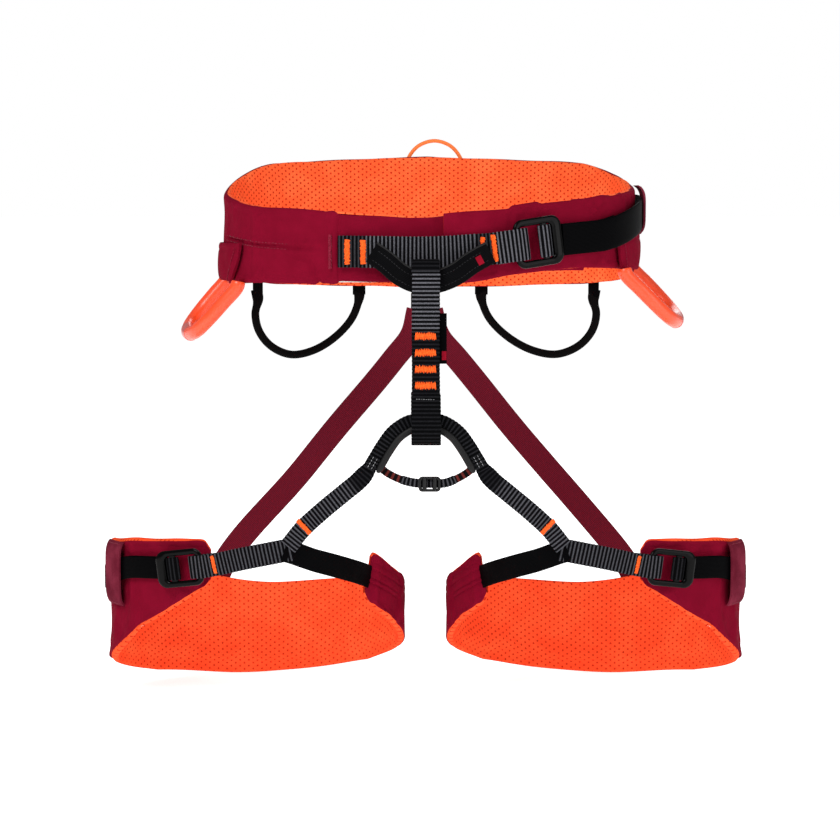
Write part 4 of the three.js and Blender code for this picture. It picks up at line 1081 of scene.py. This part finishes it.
HAUL_X = 7.0
feet = [np.array([HAUL_X + sign * 22, MIDDLE_Y + 108 + 2.4, 366.0]) for sign in (-1, 1)]
line = hoop_line(feet[0], feet[1], (0, 0, 38), HAUL_OUTLINE, 0.8, before=[feet[0] - [1.0, 1.0, 12]],
                 after=[feet[1] - [-1.0, 1.0, 12]])
haul = tube("haul_cord_loop", line, 1.4, ORANGE_CORD, None, "orange_plastic", count=12,
            stands_for=["haul_loop"])
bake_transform(haul)
for side, foot in zip(("left", "right"), feet):
    strip = Line([foot + [0, -1.2, -3], foot + [0, -1.2, -15]], [(0, 1, 0)] * 2, 0.5)
    line_bartack(f"haul_{side}_bartack", strip, 6, 0, 7, 2.6, "waist_belt", 1.4, turned=True,
                 material=BURGUNDY_THREAD, seed=41, slot="burgundy_cloth")


# ---------------------------------------------------------------- belay loop
def ring_line(grow, low, high):
    """A flattened ring of webbing seen from the side, going up its front and over."""
    depth = BELAY_WINDOW + 2 * grow
    outline = rounded_outline(0.0, depth, high - low, depth / 2 - 0.8, 14)
    middle = np.array([0, BELAY_MID_Y, (low + high) / 2])
    points = middle + np.stack([np.zeros(len(outline)), -outline[:, 0], outline[:, 1]], 1)
    run = unit(np.roll(points, -1, 0) - np.roll(points, 1, 0))
    faces = np.cross(run, np.broadcast_to([-1.0, 0, 0], run.shape))
    faces *= np.sign(((points - middle) * faces).sum(1).mean())
    return points, faces


def belay_depth(line):
    """How deep the ribs are at each station: smooth over the top, ribbed below."""
    return 0.34 * (1 - smooth(line.point[:, 2], 309, 313))


points, faces = ring_line(BELAY_THICK / 2, BELAY_BOTTOM + 2, BELAY_TOP - 2)
belay_line = Line(points, faces, STATION, ring=True)
depth = belay_depth(belay_line)
tone = 1 - (1 - smooth(belay_line.point[:, 2], 309, 312)) * smooth(belay_line.point[:, 2], 270, 273)
webbing("belay_loop_band", belay_line, BELAY_WIDTH, BELAY_THICK, WEBBING, "belay_loop", "black_webbing",
        ribs=lambda s: depth, plain=lambda s: tone, stands_for=["belay_loop_webbing"], power=7,
        pitch=belay_line.length / round(belay_line.length / RIB_PITCH))
for number, z in enumerate([267.8, 256.8, 245.7, 234.6]):
    bartack(f"belay_bartack_{number}", (-0.3, BELAY_FRONT_Y - 0.2, z), (1, 0, 0), (0, 0, 1), (0, -1, 0),
            13.8, 5.4, ORANGE_THREAD, "belay_loop", "black_webbing",
            pitch=1.15, radius=0.42, seed=50 + number)
stitches("belay_light_stitches", [(-7, BELAY_FRONT_Y - 1.4, 225.6), (7, BELAY_FRONT_Y - 1.4, 225.2)],
         1.1, 0.5, 0.22, GREY_THREAD, "belay_loop", "black_webbing")

sleeve_points, sleeve_faces = ring_line(BELAY_THICK + 0.3 + 0.45, BELAY_BOTTOM - 0.75, BELAY_TOP)
sleeve_ring = Line(sleeve_points, sleeve_faces, STATION, ring=True)
below = sleeve_ring.point[:, 2] < 229
first = int(np.flatnonzero(below & ~np.roll(below, 1))[0])
order = (np.arange(len(sleeve_ring.s)) + first) % len(sleeve_ring.s)
order = order[: int(below.sum())]
sleeve_line = Line(sleeve_ring.point[order], sleeve_ring.face[order], STATION)
webbing("belay_lower_sleeve", sleeve_line, BELAY_WIDTH + 1.0, 0.95, DARK_RIBBED, "belay_loop", "black_sleeve",
        ribs=0.3, plain=0.6, pitch=2.6, stands_for=["belay_loop_sleeve"], power=8)

label_y = BELAY_FRONT_Y + BELAY_THICK + 0.9
label = Line([(8.6, label_y, 283.0), (8.6, label_y, 249.0)], [(0, -1, 0)] * 2, 0.8)
webbing("belay_label", label, 10.8, 0.8, SATIN, "belay_loop", "black_plastic", ribs=0,
        stands_for=["belay_wear_label"], wobble=0)
patch = Line([(12.2, label_y - 0.5, 257.5), (12.2, label_y - 0.5, 251.5)], [(0, -1, 0)] * 2, 0.8)
webbing("belay_label_patch", patch, 3.2, 0.5, RED_PATCH, "belay_loop", "black_plastic", ribs=0, wobble=0)

# ---------------------------------------------------------------- leg bridge (lower tie-in)
ARCH_HALF = [(39, 176.5), (34.5, 184.5), (29.5, 193), (22, 203), (11.5, 209.8), (3.5, 210.8)]
TOWARDS_FRONT = np.array([0.0, -1.0, 0.0])


def arch_line(inset, step):
    """The bridge's arch, moved inwards and down by inset."""
    side = lambda sign: [(sign * (x - inset * x / 39), BELAY_MID_Y, z - inset) for x, z in ARCH_HALF]
    points = side(-1) + side(1)[::-1]
    return Line.through(points, [TOWARDS_FRONT] * len(points), step)


arch = arch_line(0, STATION)
arch_ribs = 0.35 * smooth(np.minimum(arch.s, arch.length - arch.s), 6, 12)
webbing("bridge_arch_band", arch, 8.8, 4.6, DARK_RIBBED, "leg_bridge", "black_webbing",
        ribs=lambda s: arch_ribs, plain=0.0, pitch=2.4, stands_for=["bridge_arch_webbing"], power=3.4)
guard_s = np.linspace(1.5, arch.length - 1.5, 110)
guard = Line(arch.at(guard_s, -6.3), np.repeat(TOWARDS_FRONT[None], len(guard_s), 0), 0.8)
u, h = loop_of(24, 2.6)
end_gap = np.minimum(guard.s, guard.length - guard.s)
shrink = (0.35 + 0.65 * np.sqrt(np.clip(end_gap / 4.5, 0, 1)))[:, None]
grid = guard.place(2.5 * shrink * u, 2.9 * shrink * h)
closed("bridge_inner_guard", grid, np.zeros((*grid.shape[:2], 2)), RUBBER, "leg_bridge", "black_plastic",
       stands_for=["bridge_protector"])
lower_points = [(-31, 3.6, 178.0), (-27, 3.6, 174.5), (-18, 3, 170), (-8, 0.5, 167.6), (3, 0.2, 167.2),
                (13, 0.5, 167.6), (20, 3, 170), (28, 3.6, 174.5), (32, 3.6, 178.0)]
lower_points = [(x, BELAY_MID_Y + back, z) for x, back, z in lower_points]
lower_line = Line.through(lower_points, [TOWARDS_FRONT] * 9, STATION)
webbing("bridge_thin_strap", lower_line, 5.4, 1.5, STRIPED, "leg_bridge", "burgundy_elastic", ribs=0.2,
        pitch=2.1, stands_for=["bridge_lower_strap"], wobble=0.15)
doubled = lower_line.s[(lower_line.point[:, 0] > -17) & (lower_line.point[:, 0] < 20)]
fold = Line(lower_line.at(doubled, 0, -0.4), np.repeat(TOWARDS_FRONT[None], len(doubled), 0), STATION)
webbing("bridge_thin_strap_fold", fold, 6.2, 3.4, WEBBING, "leg_bridge", "black_webbing", ribs=0.25,
        plain=0.5, pitch=1.9, power=3, wobble=0.2)
for side, sign in (("left", -1), ("right", 1)):
    s = 6.5 if sign < 0 else arch.length - 6.5
    for row in range(5):
        across = -2.8 + 1.4 * row
        ends = arch.at(np.linspace(s - 5, s + 5, 12), across, 2.45)
        thread = GREY_THREAD if row % 2 else BLACK_THREAD
        stitches(f"bridge_{side}_stitches_{row}", ends, 1.5, 0.7, 0.3, thread, "leg_bridge", "black_webbing")

# The small adjuster: two rounded bars and two ends round the thin strap.
adjuster_at = np.array([2.5, BELAY_MID_Y + 0.3, 167.2])
outer = rounded_outline(0.0, 15.0, 10.4, 2.6)
inner = rounded_outline(0.0, 11.0, 6.6, 1.4)
x, y = loop_of(16, 2.6)
middle, half = (outer + inner) / 2, (outer - inner) / 2
flat = middle[:, None] + half[:, None] * x[None, :, None]
grid = np.stack([adjuster_at[0] + flat[..., 0],
                 adjuster_at[1] + np.broadcast_to(-2.6 - 1.2 * y, flat.shape[:2]),
                 adjuster_at[2] + flat[..., 1]], -1)
closed("bridge_adjuster_frame", grid, np.zeros((*grid.shape[:2], 2)), PLASTIC, "bridge_adjuster",
       "black_plastic", ring=1.0, stands_for=["bridge_adjuster"])
for number, offset in enumerate((-3.4, 3.4)):
    bar_ends = [adjuster_at + (offset, -3.4, up) for up in (-4.6, 4.6)]
    bar = Line(bar_ends, [TOWARDS_FRONT] * 2, 0.8)
    tube(f"bridge_adjuster_bar_{number}", bar, 1.5, PLASTIC, "bridge_adjuster", "black_plastic", count=12)


# ---------------------------------------------------------------- rear risers
RISER_FOOT = 77
RISER_WIDTH = 18.2
RISER_PIVOT_Z = 288.0
back_y = MIDDLE_Y + WAIST["b"]
riser_foot = LEG_OVAL.point(RISER_FOOT, 2.2, 84.0)
low_foot = LEG_OVAL.point(RISER_FOOT - 4.5, 1.5, 59.0)
for side, sign in (("left", -1), ("right", 1)):
    points = [(sign * 5, back_y - 2.6, RISER_PIVOT_Z - 13), (sign * 10, back_y - 3, 256),
              (sign * 25, back_y - 4, 237), (sign * 92, back_y + (riser_foot[1] - back_y) * 0.6, 156.3),
              riser_foot * (sign, 1, 1), low_foot * (sign, 1, 1)]
    line = Line.through(points, [(0, 1, 0.1)] * 6, 0.7)
    webbing(f"{side}_rear_riser", line, RISER_WIDTH, 1.2, ELASTIC, "risers", "burgundy_elastic", ribs=0.06,
            pitch=1.4, stands_for=[f"{side}_riser"], wobble=0.35)

anchor = Line([(0, back_y + 1.3, 317), (0, back_y + 1.3, 291)], [(0, 1, 0)] * 2, STATION)
webbing("riser_anchor_strap", anchor, 20, 1.4, DARK_RIBBED, "waist_belt", "black_webbing", ribs=0.12,
        stands_for=["riser_anchor"])
for place, s, seed in (("high", 3.5, 61), ("low", 13, 62)):
    line_bartack(f"riser_anchor_bartack_{place}", anchor, s, 0, 15, 3, "waist_belt", 0.9,
                 material=BLACK_THREAD, seed=seed)


def riser_buckle():
    """A flat moulded ladder with one slot that the risers hang from."""
    centre = np.array([0, back_y + 1.2, RISER_PIVOT_Z - 6.6])
    outer = rounded_outline(0.0, 22.0, 17.0, 3.2)
    inner = rounded_outline(0.0, 18.5, 3.0, 1.2)
    inner[:, 1] += 3.1
    x, y = loop_of(20, 4.0)
    middle, half = (outer + inner) / 2, (outer - inner) / 2
    flat = middle[:, None] + half[:, None] * x[None, :, None]
    grid = np.stack([centre[0] + flat[..., 0], np.broadcast_to(centre[1] + 1.7 * y, flat.shape[:2]),
                     centre[2] + flat[..., 1]], -1)
    closed("riser_hanger_buckle", grid, np.zeros((*grid.shape[:2], 2)), PLASTIC, "risers", "black_plastic",
           ring=1.0, stands_for=["riser_buckle"])


riser_buckle()


# ---------------------------------------------------------------- leg loops
def corner_drop(degrees, end, reach, drop):
    """How far a rounded corner pulls an edge in, by arc length from the pad's end."""
    gap = np.abs(np.asarray(degrees, float) - end) * math.radians(1) * float(LEG_OVAL.radius(end))
    t = np.clip(1 - gap / reach, 0, 1)
    return drop * (1 - np.sqrt(1 - t * t))


def leg_high(degrees):
    return (leg_top(degrees) - corner_drop(degrees, LEG_ENDS[0], 9, 7.5)
            - corner_drop(degrees, LEG_ENDS[1], 4, 3.0))


def leg_low(degrees):
    return (leg_bottom(degrees) + corner_drop(degrees, LEG_ENDS[0], 5, 3.0)
            + corner_drop(degrees, LEG_ENDS[1], 9, 6.0))


def leg_lean(degrees, v):
    """The inner end's edge leans: its top stops short of its bottom."""
    return -4.6 * smooth(degrees, 205, 232.5) * smooth(v, 0.0, 1.0)


leg_pad = Pad(LEG_OVAL, LEG_ENDS, leg_low, leg_high, lambda d: np.full(np.shape(d), -PAD_THICK / 2),
              thick=6.8, edge=3.2, rows=15, cell=3.9, lean=leg_lean)
leg_pad.swell("leg_blank", limit=1.2)
R = leg_pad.rows


def leg_creases(grid, look, facts):
    angle, arc = facts["angle"], facts["arc"]
    z = grid[..., 2]
    move = 0.3 * np.sin(arc / 11 + z / 9) + 0.2 * np.sin(arc / 24 - z / 7 + 1)
    move = move - 0.9 * bell(angle, -1.0, 0.55)
    move = move + 0.35 * (bell(angle, -3.4, 1.3) + bell(angle, 1.4, 1.3))
    top_edge = leg_top(angle) - z
    move = move - 0.35 * bell(top_edge, 5.2, 0.6) - 0.6 * bell(top_edge, 10.5, 0.8)
    inner_end = smooth(angle, 196, 206)
    move = move - inner_end * 0.8 * (bell(top_edge, 17.0, 0.9) + bell(top_edge, 20.5, 0.9))
    move = move + inner_end * 0.3 * bell(top_edge, 18.8, 1.2)
    return move[..., None] * look


def leg_liner_dimples(grid, look, facts):
    arc, rise, v = facts["arc"], facts["rise"], facts["v"]
    move = 0.25 * np.sin(arc / 12 + rise / 8) - 0.7 * bell(v, 0.5, 0.035)
    return move[..., None] * look


leg_shell = leg_pad.sheet(2, 0.7, R - 1.75, leg_creases)
leg_liner = leg_pad.sheet(1, R - 2.0, 2 * R + 0.9, leg_liner_dimples)
leg_seat = Seat(LEG_OVAL, -69.5, float(leg_tail_z(-69.5)), -8)
FRONT_Y = BELAY_MID_Y


def leg_loop(side):
    mirror = side == "left"
    body = f"{side}_leg"
    sheet_piece(f"{side}_leg_outer_cloth", leg_shell, 1.1, 0.6, "rise", BURGUNDY, body, "burgundy_cloth",
                stands_for=[f"{side}_leg_shell"], mirror=mirror)
    sheet_piece(f"{side}_leg_lining", leg_liner, 1.1, 0.0, "rise", LEG_ORANGE, body, "orange_mesh",
                stands_for=[f"{side}_leg_liner"], mirror=mirror)
    foam_core(f"{side}_leg_padding", leg_pad, body, f"{side}_leg_foam", mirror=mirror)

    edge_angles = np.linspace(LEG_ENDS[0] + 1.5, LEG_ENDS[1] - 1.5, 700)
    for edge, heights in (("top", leg_top(edge_angles) - 5.2), ("bottom", leg_bottom(edge_angles) + 5.0)):
        stitches(f"{side}_leg_{edge}_stitches", trace(leg_shell, edge_angles, heights, 0.3),
                 2.2, 1.0, 0.25, BURGUNDY_THREAD, body, "burgundy_cloth", mirror=mirror)

    # Upper strap: from the bridge's corner down to the Y where the other two start.
    upper_points = [(33.5, FRONT_Y, 185.5), (37.5, FRONT_Y, 178.5), (44.5, FRONT_Y, 170),
                    (56, FRONT_Y + 1, 160.5), (70, FRONT_Y + 3, 149), (84, FRONT_Y + 9.2, 135.5),
                    (94, FRONT_Y + 13.4, 122.5)]
    upper = Line.through(upper_points, [(0.1, -1, 0.1)] * 7, STATION)
    widen = lambda s: 8.0 + 4.6 * smooth(s, 3, 17)
    strap = webbing(f"{side}_leg_long_strap", upper, widen, 3.0, WEBBING, None, "black_webbing", ribs=0.32,
                    plain=lambda s: 0.35 + 0.65 * (1 - smooth(s, 22, 30)), pitch=2.6,
                    stands_for=[f"{side}_leg_upper_strap"], mirror=mirror)
    start, end = upper.at(np.array([14.0, 34.0]))
    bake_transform(strap)
    line_bartack(f"{side}_leg_strap_bartack", upper, upper.length - 19.0, 0, 12.5, 3.8, body, 1.6, seed=71,
                 mirror=mirror)

    # Outer strap to the buckle.
    loop_points, loop_faces = sewn_loop(leg_seat)
    outer_points = [(92, FRONT_Y + 15.5, 120), (108, FRONT_Y + 19, 116.5), (124, FRONT_Y + 23.5, 113),
                    *loop_points]
    outer_faces = [(0, -1, 0), (0.05, -1, 0), (0.08, -1, 0), *loop_faces]
    outer = Line.through(outer_points, outer_faces, STATION)
    webbing(f"{side}_leg_front_strap", outer, LEG_WEB, WEB_THICK, WEBBING, body, "black_webbing", plain=0.45,
            stands_for=[f"{side}_leg_outer_strap"], mirror=mirror)
    line_bartack(f"{side}_leg_buckle_bartack", outer, s_where(outer, 146.5, 0.7), 0, 12, 3, body, 0.9,
                 seed=72, mirror=mirror)

    # Inner strap, plain, which is sewn into the pad's inner front end.
    inner_points = [(97, FRONT_Y + 15.5, 119.5), (91, FRONT_Y + 17, 117.5), (78, FRONT_Y + 24, 112),
                    (64, FRONT_Y + 35, 106.5), (52, FRONT_Y + 50, 100.5), (45.5, FRONT_Y + 61, 96.5),
                    (38.6, FRONT_Y + 78, 91)]
    inner_faces = [(0, -1, 0), (0, -1, 0), (0.1, -1, 0), (-0.5, -1, 0), (-0.75, -0.8, 0),
                   (-0.75, -0.8, 0), (-0.8, -0.7, 0)]
    inner = Line.through(inner_points[::-1], inner_faces[::-1], 0.5)
    webbing(f"{side}_leg_back_strap", inner, LEG_WEB, WEB_THICK, SATIN, body, "black_webbing", ribs=0.05,
            pitch=1.4, stands_for=[f"{side}_leg_inner_strap"], mirror=mirror)

    tail = Line.round_oval(LEG_OVAL, -64, -4, 2.0, leg_tail_z, 0.7)
    webbing(f"{side}_leg_spare_end", tail, LEG_WEB, WEB_THICK, SATIN, f"{side}_leg_strap_end",
            "black_webbing", ribs=0.04, pitch=1.6, stands_for=[f"{side}_leg_strap_tail"], mirror=mirror)
    tape_keeper(f"{side}_leg_keeper_tape", LEG_OVAL, -41, -23, 93.5, 46, 3.6, body,
                f"{side}_leg_tail_keeper", mirror=mirror)
    buckle(f"{side}_leg", leg_seat, LEG_WEB, 4.3, body, f"{side}_leg_buckle_slider", mirror=mirror)
    webbing(f"{side}_leg_strap_over_bar", fold_line(leg_seat), LEG_WEB, WEB_THICK, DARK_RIBBED,
            f"{side}_leg_buckle_slider", "black_webbing", stands_for=[f"{side}_leg_strap_fold"], wobble=0,
            mirror=mirror)

    patch = Line(LEG_OVAL.point(np.full(20, 74.0), 3.0, np.linspace(49, 69, 20)),
                 LEG_OVAL.normal(np.full(20, 74.0)), 0.5)
    webbing(f"{side}_leg_riser_patch", patch, 27, 1.2, ELASTIC, body, "burgundy_elastic", ribs=0.05,
            pitch=1.4, stands_for=[f"{side}_leg_riser_tab"], mirror=mirror)
    line_bartack(f"{side}_leg_riser_bartack", patch, 16, 0, 19, 3, body, 0.8, material=BURGUNDY_THREAD,
                 seed=73, slot="burgundy_elastic", mirror=mirror)


leg_loop("left")
leg_loop("right")


# ---------------------------------------------------------------- stage, light and camera
def aimed(name, data, place, aim):
    """A light or camera at a place, turned towards another."""
    made = bpy.data.objects.new(name, data)
    bpy.context.scene.collection.objects.link(made)
    made.location = place
    made.rotation_euler = (Vector(aim) - Vector(place)).to_track_quat("-Z", "Y").to_euler()
    return made


def lamp(name, place, aim, size, power):
    light = bpy.data.lights.new(name, "AREA")
    light.energy = power
    light.shape = "RECTANGLE"
    light.size, light.size_y = size, size
    aimed(name, light, place, aim)


def camera(place, aim, lens):
    data = bpy.data.cameras.new("photo_camera")
    data.lens, data.sensor_width = lens, 36
    bpy.context.scene.camera = aimed("photo_camera", data, place, aim)


FLOOR_GLOW = 0.75


def white_floor(z):
    half = 60.0
    mesh = bpy.data.meshes.new("floor")
    corners = [(-half, -half, z), (half, -half, z), (half, half, z), (-half, half, z)]
    mesh.from_pydata(corners, [], [(0, 1, 2, 3)])
    floor = bpy.data.objects.new("floor", mesh)
    bpy.context.scene.collection.objects.link(floor)
    paint = Paint("pale_floor", 0.9)
    paint.set("Base Color", tint(250, 250, 250))
    paint.set("Emission Color", (1, 1, 1, 1))
    paint.set("Emission Strength", FLOOR_GLOW)
    mesh.materials.append(paint.material)


def white_world(seen, lit):
    world = bpy.data.worlds.new("studio")
    world.use_nodes = True
    tree = world.node_tree
    background = tree.nodes["Background"]
    path = tree.nodes.new("ShaderNodeLightPath")
    strength = tree.nodes.new("ShaderNodeMapRange")
    tree.links.new(path.outputs["Is Camera Ray"], strength.inputs[0])
    strength.inputs[3].default_value, strength.inputs[4].default_value = lit, seen
    tree.links.new(strength.outputs[0], background.inputs["Strength"])
    background.inputs["Color"].default_value = (1, 1, 1, 1)
    bpy.context.scene.world = world


white_floor(-0.0005)
white_world(seen=1.0, lit=0.3)
OBJECT_MIDDLE = (0, 0, 0.2)
lamp("key_light", (-0.8, -1.5, 1.5), OBJECT_MIDDLE, 0.9, 26)
lamp("fill_light", (1.5, -1.2, 0.7), OBJECT_MIDDLE, 1.2, 10)
lamp("back_light", (0.3, 1.5, 1.2), OBJECT_MIDDLE, 1.2, 12)
camera((-0.0040, -1.7846, 0.3569), (-0.0040, 0.0085, 0.200), 106.4)
bpy.context.scene.view_settings.view_transform = "Standard"
